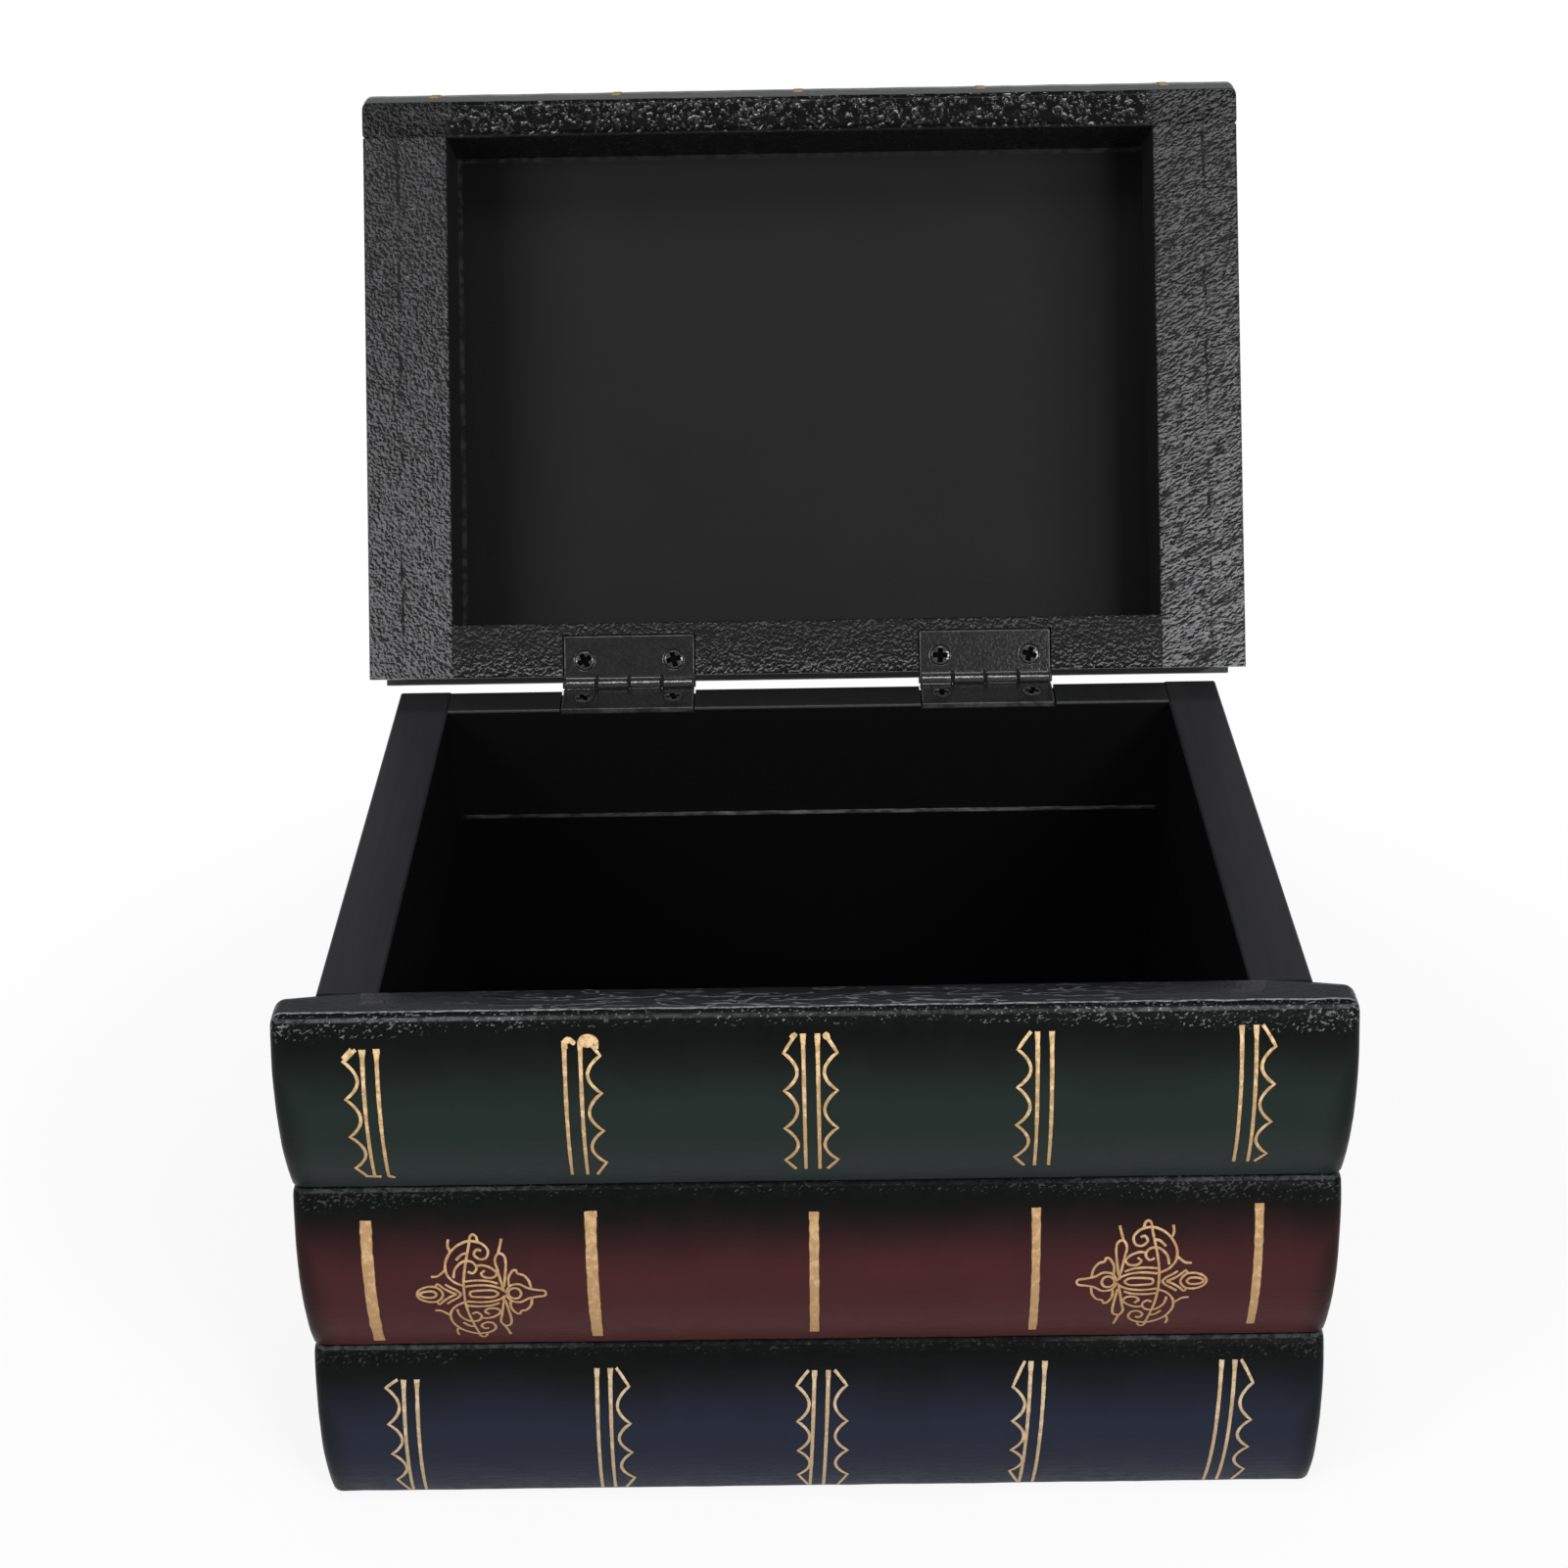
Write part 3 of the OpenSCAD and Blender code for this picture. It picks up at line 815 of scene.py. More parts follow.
# %% Brush strokes
GOLD_HEIGHT, FULL_THICK, STROKE_RADIUS = 0.16 * MM, 0.28 * MM, 1.0 * MM


def brush_strokes(name, strokes):
    """Round strokes in front of the box, each as its points in mm from the foot and its width."""
    curve = bpy.data.curves.new(name, "CURVE")
    curve.dimensions = "3D"
    curve.bevel_depth = STROKE_RADIUS
    curve.bevel_resolution = 2
    curve.use_fill_caps = True
    for points, width in strokes:
        widths = width if isinstance(width, list) else [width] * len(points)
        line = curve.splines.new("POLY")
        line.points.add(len(points) - 1)
        for dot, (x, z), wide in zip(line.points, points, widths):
            dot.co = (x * MM, 0, z * MM, 1)
            shaky = 1 + 0.16 * noise.noise(Vector((x, z, 7.3)) * 0.9)
            dot.radius = wide / 2 * shaky
    drawn = bpy.data.objects.new(name, curve)
    bpy.context.scene.collection.objects.link(drawn)
    choose(drawn)
    bpy.ops.object.convert(target="MESH")
    return bpy.context.object


def lay_on(strokes, spine, foot):
    """Presses strokes flat onto the front of a spine that stands on foot."""
    shape = spine.data
    corners = [vertex.co for vertex in shape.vertices]
    surface = BVHTree.FromPolygons(corners, [face.vertices for face in shape.polygons])
    thickness = strokes.data.attributes.new("thickness", "FLOAT", "POINT")
    for vertex, thick in zip(strokes.data.vertices, thickness.data):
        x, bump, z = vertex.co
        place = surface.ray_cast(Vector((x, -1, z + foot)), Vector((0, 1, 0)))[0]
        rise = max(-1.0, min(1.0, -bump / FULL_THICK))
        vertex.co = (x, place.y - rise * GOLD_HEIGHT, z + foot)
        thick.value = rise


def smooth_path(points, steps=6):
    """A flowing line through the given points."""
    last = len(points) - 1
    path = []
    for n in range(last):
        a, b, c, d = [Vector(points[max(0, min(last, n + k))]) for k in (-1, 0, 1, 2)]
        for step in range(steps):
            t = step / steps
            square, cube = a * 2 - b * 5 + c * 4 - d, b * 3 - a - c * 3 + d
            path.append((b * 2 + (c - a) * t + square * t**2 + cube * t**3) / 2)
    path.append(Vector(points[-1]))
    return [tuple(point) for point in path]


def ruled(top, bottom):
    """A straight stroke as many short steps, so that it can follow the arc."""
    count = max(2, round(math.dist(top, bottom) / 1.1))
    return [tuple(Vector(top).lerp(Vector(bottom), n / count)) for n in range(count + 1)]


print("brush ready")

# %% [markdown]
# The green and the navy book have five bands each. A band is two ruled lines with a wavy line
# beside them, pointed on its outer side and round on its inner side. The painter's brush left
# thick dabs where it was set down, most of all on the green book's left half.

# %% Bands
WAVE_REACH = 2.5


def wave(line_x, side, top, points_at, foot):
    """A wavy stroke on one side of a line, with its points at the given heights."""
    inner, outer = line_x + side * 1.2, line_x + side * (1.2 + WAVE_REACH)
    path = []
    for n in range(len(points_at) - 1):
        high, low = points_at[n], points_at[n + 1]
        for step in range(12):
            t = step / 12
            swing = abs(math.sin(math.pi * t)) ** 0.85
            path.append((outer + (inner - outer) * swing, high + (low - high) * t))
    path.append((outer, points_at[-1]))
    rise, fall, wide = points_at[0] - top, foot - points_at[-1], outer - inner
    start = [(inner + wide * t**0.9, top + rise * t) for t in (0, 0.25, 0.5, 0.75)]
    end = [(outer - wide * t * 0.8, points_at[-1] + fall * t) for t in (0.3, 0.6, 0.85, 1)]
    return start + path + end


def band(left, right, top, foot, points_at, waves, lean=0.0):
    """Two ruled lines from top to foot and the waves beside them, as strokes with widths."""
    strokes = []
    for x in (left, right):
        path = ruled((x, top), (x + lean, foot))
        count = len(path)
        strokes.append((path, [1.3, 1.2] + [0.96 - 0.2 * n / count for n in range(2, count)]))
    if "left" in waves:
        strokes.append((wave(left, -1, top, points_at, foot), 0.76))
    if "right" in waves:
        strokes.append((wave(right, 1, top, points_at, foot), 0.76))
    return strokes


green_points = [32.7, 25.2, 16.6, 7.9]
green_strokes = (
    band(-84.9, -82.2, 34.4, 4.3, [32.2, 24.6, 15.9, 7.2], "left", lean=-0.4)
    + band(-46.9, -43.9, 35.5, 4.1, green_points, "right", lean=-0.2)
    + band(-2.1, 0.6, 36.2, 5.0, green_points, "left right", lean=0.2)
    + band(41.8, 44.5, 36.0, 5.2, green_points, "left", lean=0.3)
    + band(80.0, 82.7, 36.6, 5.5, green_points, "right", lean=0.4)
)
green_strokes += [
    (ruled((-82.2, 34.5), (-82.2, 33.0)), [1.5, 1.5, 0.9]),
    (ruled((-84.9, 34.4), (-84.9, 32.9)), [1.5, 1.4, 0.9]),
    (ruled((-86.7, 34.3), (-88.4, 32.6)), [1.5, 1.5, 1.4, 1.0]),
    (ruled((-84.0, 4.3), (-87.2, 4.4)), [0.8, 0.9, 0.8, 0.6]),
    (ruled((-82.6, 4.4), (-81.4, 3.9)), [1.1, 0.9, 0.6]),
    (smooth_path([(-46.7, 34.0), (-46.8, 35.2), (-45.9, 35.6), (-44.9, 34.9)], 3),
     [1.1, 1.2, 1.3, 1.4, 1.4, 1.5, 1.3, 1.1, 1.0, 0.8]),
    (smooth_path([(-44.0, 34.8), (-43.4, 35.7), (-41.9, 35.8), (-41.0, 35.2), (-40.8, 34.0)], 3),
     [1.1, 1.3, 1.5, 1.7, 1.8, 1.8, 1.7, 1.7, 1.6, 1.4, 1.1, 0.9, 0.8]),
    (ruled((-43.6, 34.9), (-41.6, 34.9)), [1.2, 1.6, 1.3]),
    (ruled((-4.4, 35.4), (-3.4, 36.2)), [1.0, 1.2, 0.8]),
    (ruled((1.9, 36.2), (2.7, 35.2)), [1.2, 1.5, 0.9]),
]
navy_strokes = (
    band(-84.2, -81.5, 33.4, 1.2, [31.7, 23.3, 15.1, 6.0], "left", lean=-1.0)
    + band(-44.9, -42.2, 35.2, 1.2, [31.3, 22.7, 14.6, 5.6], "right", lean=-0.6)
    + band(-0.8, 2.0, 34.2, 1.2, [31.0, 22.7, 14.5, 6.0], "left right", lean=-1.3)
    + band(43.0, 45.8, 35.5, 1.2, [30.2, 22.1, 13.9, 6.4], "left", lean=-1.4)
    + band(81.5, 84.2, 35.3, 1.2, [30.5, 21.7, 14.0, 6.0], "right", lean=-1.4)
)
print(len(green_strokes), "green and", len(navy_strokes), "navy strokes")

# %% [markdown]
# The maroon book has five broad bars, and between the outer two on each side a scroll ornament of
# the sort that binders have stamped for centuries. It follows the photographed one nearly stroke
# for stroke: a bud, a calyx, scrolls that curl inwards, nested bars, a ring, and tendrils. Only the
# upper half is drawn, because its lower half is the mirror of it, and the right scroll mirrors the
# left.

# %% Bars and scrolls
SCROLL_HALF = [
    ([(-12.8, 0.0), (-12.2, 1.2), (-10.6, 2.0), (-8.9, 1.9), (-7.9, 0.9), (-7.6, 0.0)], 6),
    ([(-12.3, 0.0), (-11.4, 0.7), (-9.6, 0.8), (-8.8, 0.0)], 5),
    ([(-8.9, 1.9), (-8.5, 2.7), (-7.4, 1.6), (-6.2, 0.7), (-4.9, 0.0)], 5),
    ([(-7.0, 2.6), (-6.0, 1.8), (-4.8, 1.0), (-4.0, 0.0)], 4),
    ([(-3.4, 2.2), (-5.2, 3.2), (-6.5, 5.2), (-6.5, 8.0), (-4.9, 10.8), (-2.2, 12.4), (0.4, 12.1),
      (1.9, 10.6), (1.6, 8.9), (0.3, 8.5), (-0.8, 9.5), (-0.3, 10.6), (0.6, 10.4)], 5),
    ([(-1.6, 12.5), (-1.4, 13.4), (-0.8, 13.8), (-0.2, 13.3), (0.0, 12.3)], 4),
    ([(-1.6, 12.2), (-2.3, 9.0), (-2.9, 6.0), (-3.3, 3.0), (-3.4, 0.0)], 4),
    ([(-5.2, 4.2), (-4.7, 6.4), (-3.1, 8.0), (-1.3, 7.9), (-0.5, 6.5), (-1.3, 5.3),
      (-2.3, 5.7)], 5),
    ([(-4.4, 8.4), (-3.2, 9.6), (-2.0, 9.9)], 4),
    ([(-0.6, 7.0), (0.8, 7.1), (2.4, 6.4), (3.4, 5.2), (2.6, 4.2), (1.1, 4.2), (0.3, 5.1),
      (1.1, 5.9)], 5),
    ([(-3.3, 3.2), (-1.0, 3.5), (1.6, 3.3), (3.4, 2.6)], 4),
    ([(-3.0, 2.0), (-0.4, 2.3), (2.0, 2.1), (3.8, 1.4), (4.6, 0.6)], 4),
    ([(-2.3, 0.0), (-1.9, 0.7), (0.0, 0.9), (2.2, 0.9), (3.2, 0.3), (3.3, 0.0)], 5),
    ([(4.5, 0.7), (4.1, 3.0), (3.6, 6.0), (3.2, 8.2), (3.9, 9.7), (5.0, 9.3), (5.3, 7.6),
      (5.0, 4.6), (4.6, 1.8)], 5),
    ([(5.3, 0.0), (5.7, 1.0), (6.6, 1.4), (7.5, 1.0), (7.9, 0.0)], 4),
    ([(4.8, 0.2), (5.8, 2.0), (7.6, 2.4), (9.2, 1.4), (11.0, 0.9), (12.4, 0.7), (12.8, 0.0)], 5),
    ([(5.6, 2.1), (5.6, 4.0), (6.4, 5.6), (7.2, 5.9), (7.5, 5.1), (8.7, 4.6), (9.6, 3.2),
      (9.9, 1.4)], 5),
    ([(3.9, 9.7), (4.3, 11.2), (4.7, 12.9)], 3),
    ([(-5.4, 10.1), (-5.9, 11.4), (-5.7, 12.9)], 3),
    ([(-6.5, 6.3), (-7.4, 5.4), (-8.4, 4.6), (-9.6, 4.5)], 4),
]


def scroll(centre_x, centre_z, facing):
    """The whole ornament at a centre, with its bud on the left where facing is 1."""
    strokes = []
    for points, steps in SCROLL_HALF:
        for flip in (1, -1):
            path = smooth_path(points, steps)
            strokes.append(([(centre_x + facing * x, centre_z + flip * z) for x, z in path], 0.64))
    return strokes


def bar(x, top, foot, width, lean=0.0):
    """A broad bar with slightly uneven edges."""
    return [(ruled((x, top), (x + lean, foot)), width)]


maroon_strokes = (
    bar(-88.1, 34.0, 2.4, 2.7, -0.3)
    + bar(-44.1, 34.7, 3.2, 2.7, -0.2)
    + bar(-0.5, 34.6, 3.8, 2.2, -0.2)
    + bar(42.8, 34.8, 3.5, 2.0, 0.2)
    + bar(86.2, 35.1, 4.8, 2.0, 0.3)
    + scroll(-66.4, 17.2, 1)
    + scroll(63.8, 18.2, -1)
)
maroon_strokes += [(ruled((-45.3, 34.6), (-42.8, 34.7)), [1.2, 1.6, 1.3])]
lid_strokes = [stroke for x in (-86.0, -43.0, 0.0, 43.0, 86.0) for stroke in bar(x, 24.0, 3.0, 2.4)]
print(len(maroon_strokes), "maroon strokes")

# %% [markdown]
# Bronze paint is part metal flake and part varnish, and each book's pot was mixed a little
# differently, as a dull and a bright tone. It is painted brighter towards the top of a spine as a
# painted highlight, and along both edges of a stroke it is painted brown as painted shade. How thick
# it lies was noted on each point while the strokes were pressed on, so the finish reads it back as
# an attribute.

# %% Gild the spines
# The edge brown is painted shade along the strokes' edges.
EDGE_SHADE_BROWN, BROWN_SPECK = (0.050, 0.027, 0.010), (0.28, 0.18, 0.09)
GOLDS = {
    "green": ((0.44, 0.29, 0.14), (0.74, 0.52, 0.28)),
    "maroon": ((0.40, 0.235, 0.105), (0.55, 0.36, 0.185)),
    "navy": ((0.43, 0.315, 0.19), (0.60, 0.46, 0.30)),
    "lid": ((0.42, 0.27, 0.13), (0.60, 0.42, 0.22)),
}


def gold_paint(name, dull, bright, foot, place_of, height):
    """Gold paint, brighter at the top of a spine as a painted highlight, and brown along a stroke's
    edges as painted shade.
    """
    finish, place = new_finish(name, place_of)
    level = (place.z - foot) / height
    uneven = level + mottle(place, 1.6 * MM, -0.45, 0.45)
    # Painted highlight: brighter towards the top of the spine.
    metal = blend(fade(uneven, 0.3, 1.1), dull, bright)
    metal = blend(mottle(place, 0.5 * MM, high=0.6, cut=(0.45, 0.75)), metal, BROWN_SPECK)
    thickness = add_node("Attribute", {}, "Fac", place.tree, attribute_name="thickness")
    # Painted shade: brown along both edges of a stroke.
    edge_shaded = blend(fade(thickness, 0.8, 0.2), metal, EDGE_SHADE_BROWN)
    flake = relief(grain(place, 0.35 * MM), 0.03 * MM)
    coat_shader(edge_shaded, mottle(place, 0.4 * MM, 0.36, 0.55), flake, specular=0.3, metallic=0.15)
    return finish


for book, strokes, spine, foot, place_values, body in (
    ("green", green_strokes, green_spine, green_low.z, BODY_PLACE, "box"),
    ("maroon", maroon_strokes, maroon_spine, maroon_low.z, BODY_PLACE, "box"),
    ("navy", navy_strokes, navy_spine, navy_low.z, BODY_PLACE, "box"),
    ("lid", lid_strokes, lid_spine, lid_spine_low.z, LID_PLACE, "lid"),
):
    gilding = brush_strokes(book + "_gilding", strokes)
    lay_on(gilding, spine, foot)
    smooth(gilding)
    finish_with(gilding, gold_paint(gilding.name + "_gold", *GOLDS[book], foot, *place_values))
    if body == "lid":
        open_up(gilding)
        open_up(spine)
    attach(gilding, body)
    print(gilding.name, "has", len(gilding.data.polygons), "faces")

# %% [markdown]
# ## Page edges
# The sides and the back of a book box imitate the edges of old paper: the wood is scored with
# fine level lines, painted cream and washed with brown, which stays in the scores. On top, where
# the lid comes down, and inside, the boards are black. Scores could be a bump pattern, but they
# catch the light better as real grooves, so each board is sliced into rows and every second row
# of corners is pressed in, some deeper than others. No score runs where a cover crosses the back.

# %% Score a board
PAGE_PITCH = 1.0 * MM
SCORE_DEPTHS = [0.16 * MM, 0.30 * MM, 0.22 * MM]
RIM_ROUND = 0.6 * MM


def score_board(name, low, high, outward, page_bands, round_at, flush=False):
    """A board scored on its back, and on the side that faces outward (-1 or 1), or 0 for none.

    Its long edges at the height round_at, where it meets the lid or the rim, are sanded round,
    except the outer one of a board that is flush with a cover strip there."""
    board = add_block(name, low, high)
    side_face = high.x if outward > 0 else low.x

    def is_long_edge(edge):
        long = at(edge, 2, round_at) and span(edge, 1 if outward else 0) > MM
        return long and not (flush and at(edge, 0, side_face))

    with editing(board):
        pick("EDGE", is_long_edge)
        bpy.ops.mesh.bevel(offset=RIM_ROUND, segments=3, affect="EDGES")
    ridges, scores = [], []
    for foot, top in page_bands:
        pages = even_places(foot, top, PAGE_PITCH)
        ridges += [foot, *pages, top]
        scores += [place - (pages[1] - pages[0]) / 2 for place in pages]
    inside = [place for place in ridges + scores if low.z + 0.1 * MM < place < high.z - 0.1 * MM]
    slice_across(board, 2, sorted(inside))
    faces = [(0, side_face, -outward), (1, high.y, -1)] if outward else [(1, high.y, -1)]
    with editing(board):
        for n, depth in enumerate(SCORE_DEPTHS):
            pressed = scores[n :: len(SCORE_DEPTHS)]
            for axis, face, way in faces:
                pick("VERT", lambda v: at(v, axis, face) and any(at(v, 2, z) for z in pressed))
                shift(*[way * depth if n == axis else 0 for n in range(3)])
    return board


# %% [markdown]
# One finish does for all boards: cream with brown in the scores, except on the rim and the inner
# faces, which are satin black with faint streaks along the board, painted darker along the back as
# painted shade. Where a book's cover crosses the back of the box, the boards carry a band of that
# book's paint, and the spray that blackened the rim drifted down a little over the back. Inside the
# well the black is quite matt.

# %% Page and rim paint
CREAM, AGED_CREAM, BROWN_WASH = (0.60, 0.51, 0.34), (0.44, 0.34, 0.19), (0.17, 0.10, 0.045)
RIM_BLACKS_SHADED_AT_BACK = ((0.0165, 0.0168, 0.0188), (0.0075, 0.0077, 0.0085))


def between(value, start, end):
    """1 where a value lies from start to end, and 0 elsewhere."""
    return (value > start) * (value < end)


def page_paint(name, place_of, back, page_bands, cover_bands, sprayed, coat=None, specular=0.4):
    """Scored pages outside, covers across the back, and satin black elsewhere.

    Sprayed gives the heights between which black spray fades out on the back, and coat lays a
    coarser paint on top."""
    finish, place = new_finish(name, place_of)
    up = place.z
    fibres = grain(stretched(place, (0.04, 0.04, 1)), 0.45 * MM, detail=3)
    stains = grain(stretched(place, (0.4, 0.4, 1)), 11 * MM, detail=5)
    paper = blend(fade(fibres, 0.35, 0.68), CREAM, AGED_CREAM)
    paper = blend(fade(stains, 0.42, 0.72, high=0.75), paper, AGED_CREAM)
    first, last = page_bands[0]
    phase = (up - first) * (round((last - first) / PAGE_PITCH) / (last - first))
    in_score = abs(fraction(phase) - 0.5)
    colour = blend(fade(in_score, 0.26, 0.05, high=0.85), paper, BROWN_WASH)
    behind = place.y > back - 0.6 * MM
    beside = abs(place.x) > WELL_HALF + 11 * MM
    paged = 0.0
    for start, end in page_bands:
        paged = between(up, start - 0.2 * MM, end + 0.2 * MM) + paged
    shown = larger(beside, behind) * smaller(paged, 1.0)
    for start, end, paint in cover_bands:
        banded = between(up, start, end) * behind
        colour = blend(banded, colour, paint)
        shown = larger(shown, banded)
    ragged = up + fade(stains, 0.3, 0.7, low=-2 * MM, high=2 * MM)
    streaks = grain(stretched(place, (1, 0.06, 1)), 1.3 * MM, detail=3)
    # Painted shade: the rim's black is darker along the back.
    black = blend(fade(place.y, back - 11 * MM, back - 8 * MM), *RIM_BLACKS_SHADED_AT_BACK)
    black = blend(fade(streaks, 0.3, 0.7, high=0.18), black, (0, 0, 0))
    colour = blend(fade(ragged, sprayed[1], sprayed[0]) * behind, colour, black)
    colour = blend(shown, black, colour)
    rough = fade(shown, 0.0, 1.0, low=0.42, high=0.72)
    bumps = relief(streaks, 0.025 * MM, below=relief(fibres * shown, 0.12 * MM))
    if coat:
        bumps, colour, rough, *_ = coat(place, bumps, colour, rough)
    coat_shader(colour, rough, bumps, specular=specular)
    return finish


back_low, back_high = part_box("back_board")
COVER_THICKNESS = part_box("base_cover")[1].z
WELL_HALF, BODY_BACK, RIM_HEIGHT = back_high
body_pages = [
    (navy_low.z + COVER_THICKNESS, navy_high.z - COVER_THICKNESS),
    (maroon_low.z + COVER_THICKNESS, maroon_high.z - COVER_THICKNESS),
    (green_low.z + COVER_THICKNESS, RIM_HEIGHT - 1.6 * MM),
]
body_covers = [
    (navy_high.z - COVER_THICKNESS, navy_high.z, NAVY),
    (maroon_low.z, maroon_low.z + COVER_THICKNESS, MAROON),
    (maroon_high.z - COVER_THICKNESS, maroon_high.z, MAROON),
    (green_low.z, green_low.z + COVER_THICKNESS, GREEN),
]
body_spray = (RIM_HEIGHT - 3 * MM, RIM_HEIGHT - 9 * MM)
board_paint = page_paint("page_paint", object_place, BODY_BACK, body_pages, body_covers, body_spray)
print("pages in the bottom book:", round((body_pages[0][1] - body_pages[0][0]) / PAGE_PITCH))

# %% [markdown]
# The two side boards and the back board make the rim. The back board also has a bed for each
# hinge leaf, cut with a Boolean as a chisel would.

# %% Body boards
BED_CLEARANCE = 0.35 * MM
LEAF_THICKNESS = 1.2 * MM


def cut_bed(board, leaf_low, leaf_high, foot, top):
    """Cuts the bed of a hinge leaf out of a board, from foot to top."""
    corner = (leaf_low.x - BED_CLEARANCE, leaf_low.y - BED_CLEARANCE, foot)
    cut_out(board, corner, (leaf_high.x + BED_CLEARANCE, leaf_high.y + 2 * MM, top))


well_black, well_place = new_finish("well_black")
well_nap = grain(well_place, 0.8 * MM, detail=3)
well_shade = blend(well_nap, (0.0018, 0.0018, 0.0018), (0.003, 0.003, 0.003))
well_rough = fade(well_nap, 0.3, 0.7, low=0.7, high=0.9)
coat_shader(well_shade, well_rough, relief(well_nap, 0.1 * MM), specular=0.06)


def faces_well(face):
    """True for the faces of a board that look into the well."""
    inward = abs(face.center.x) < WELL_HALF + 0.2 * MM and face.center.y < back_low.y + 0.2 * MM
    return inward and face.center.z < RIM_HEIGHT - 0.7 * MM and abs(face.normal.z) < 0.5


for node, name, outward in (
    ("left_side_board", "left_page_board", -1),
    ("right_side_board", "right_page_board", 1),
    ("back_board", "back_page_board", 0),
):
    board = score_board(name, *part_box(node), outward, body_pages, RIM_HEIGHT)
    if node == "back_board":
        for leaf in ("body_leaf_left", "body_leaf_right"):
            cut_bed(board, *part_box(leaf), RIM_HEIGHT - LEAF_THICKNESS, RIM_HEIGHT + MM)
    smooth(board, SMOOTH_UP_TO)
    finish_with(board, board_paint)
    print(finish_faces(board, well_black, faces_well), "faces look into the well")
    hand_over(board, node, "box")

# %% [markdown]
# The lid's own boards are scored outside like the body's, and coarse black below. So their finish
# is the page paint with the coarse coat laid over its black part.

# %% Lid boards
_, rail_high = closed_box("lid_rear_rail")
lid_pages = [(LID_FOOT + COVER_THICKNESS, rail_high.z)]
lid_covers = [(LID_FOOT, LID_FOOT + COVER_THICKNESS, SPRAYED_BLACK)]
# The lid's back is black over its whole height.
lid_back_black = (LID_FOOT + 40 * MM, LID_FOOT + 60 * MM)
RAIL_COAT = (math.radians(12), 1.2, 0.66 * MM, 0.12 * MM)
# The rail greys are painted highlights on the lit side of the rail's lumps.
RAIL_HIGHLIGHT_GREYS = ((0.060, 0.060, 0.062), (0.200, 0.200, 0.204))
SEAM_PLACE = closed_box("lid_right_stile")[1].x - 0.2 * MM
LID_COATS = {
    "left": (LEFT_COAT, {"toned": LEFT_HIGHLIGHT_GREYS, "seam": SEAM_PLACE}),
    "right": (RIGHT_COAT, {"toned": RIGHT_HIGHLIGHT_GREYS, "cracks": CRACK_DEPTH, "seam": SEAM_PLACE}),
    "rail": (RAIL_COAT, {"toned": RAIL_HIGHLIGHT_GREYS, "over": (54 * MM, 68 * MM), "steep": (-0.01, 0.17)}),
}
for kind, node, outward in (
    ("left", "lid_left_stile", -1), ("right", "lid_right_stile", 1), ("rail", "lid_rear_rail", 0),
):
    name, flush = f"lid_{kind}_pages", kind != "rail"
    board = score_board(name, *closed_box(node), outward, lid_pages, LID_FOOT, flush)
    if kind == "rail":
        for leaf in ("lid_leaf_left", "lid_leaf_right"):
            cut_bed(board, *closed_box(leaf), LID_FOOT - MM, LID_FOOT + LEAF_THICKNESS)
    smooth(board, SMOOTH_UP_TO)
    values, settings = LID_COATS[kind]
    coat = coarse_coat(*values, where=on_underside, **settings)
    pages = (closed_place, rail_high.y, lid_pages, lid_covers, lid_back_black)
    finish_with(board, page_paint(kind + "_coarse_paint", *pages, coat, COARSE_SPECULAR))
    open_up(board)
    hand_over(board, node, "lid")

# %% [markdown]
# The strips outside the seams, the panel at the bottom of the hollow, and the lid's top cover keep
# their imported shape. The strips get the same coarse coat, the panel a fine satin one, painted
# darker towards its side walls as painted shade and with a thin painted highlight line along two
# edges, and the top a leather-like paint.

# %% Strips, panel and covers
def cover_paint(name, colour, place_of):
    """The paint of a cover: a fine leather grain, black where hands and shelves rub it."""
    finish, place = new_finish(name, place_of)
    hide = add_node("TexVoronoi", {"Vector": place, "Scale": 1 / (1.6 * MM)}, feature="SMOOTH_F1")
    toned = blend(mottle(place, 30 * MM, 0.0, 0.8, 5, (0.38, 0.7)), colour, SPRAYED_BLACK)
    low_spots = blend(fade(hide, 0.25, 0.6), toned, [c * 0.7 for c in colour])
    rough = mottle(place, 6 * MM, 0.36, 0.5, detail=3)
    streaks = grain(stretched(place, (0.1, 1, 1)), 1.5 * MM, detail=3)
    bumps = relief(streaks, 0.05 * MM, below=relief(hide, -0.12 * MM))
    coat_shader(low_spots, rough, bumps, specular=0.35)
    return finish


satin_panel, panel_place = new_finish("satin_panel_paint", closed_place)
panel_low, _ = closed_box("lid_inner_panel")
panel_grain = grain(panel_place, 0.45 * MM)
panel_across = panel_place.x
panel_shade = grain(panel_place, 18 * MM, detail=4)
panel_colour = blend(panel_shade, (0.009, 0.009, 0.0092), (0.012, 0.012, 0.0123))
# Painted shade: the panel is darker towards its side walls.
painted_wall_shade = fade(abs(panel_across), 50 * MM, 76 * MM)
panel_colour = blend(painted_wall_shade, panel_colour, (0.0032, 0.0032, 0.0032))
# Painted highlight: a thin pale line along the left and front edges.
left_edge_line = fade(panel_across, panel_low.x + 1.3 * MM, panel_low.x + 0.9 * MM)
front_edge_line = fade(panel_place.y, panel_low.y + 1.3 * MM, panel_low.y + 0.9 * MM)
painted_highlight_line = larger(left_edge_line, front_edge_line) * mottle(panel_place, 2 * MM, 0.15, detail=3, cut=(0.42, 0.6))
panel_colour = blend(painted_highlight_line, panel_colour, (0.022, 0.022, 0.022))
panel_rough = fade(panel_grain, 0.3, 0.7, low=0.5, high=0.6)
coat_shader(panel_colour, panel_rough, relief(panel_grain, 0.05 * MM), specular=0.1)

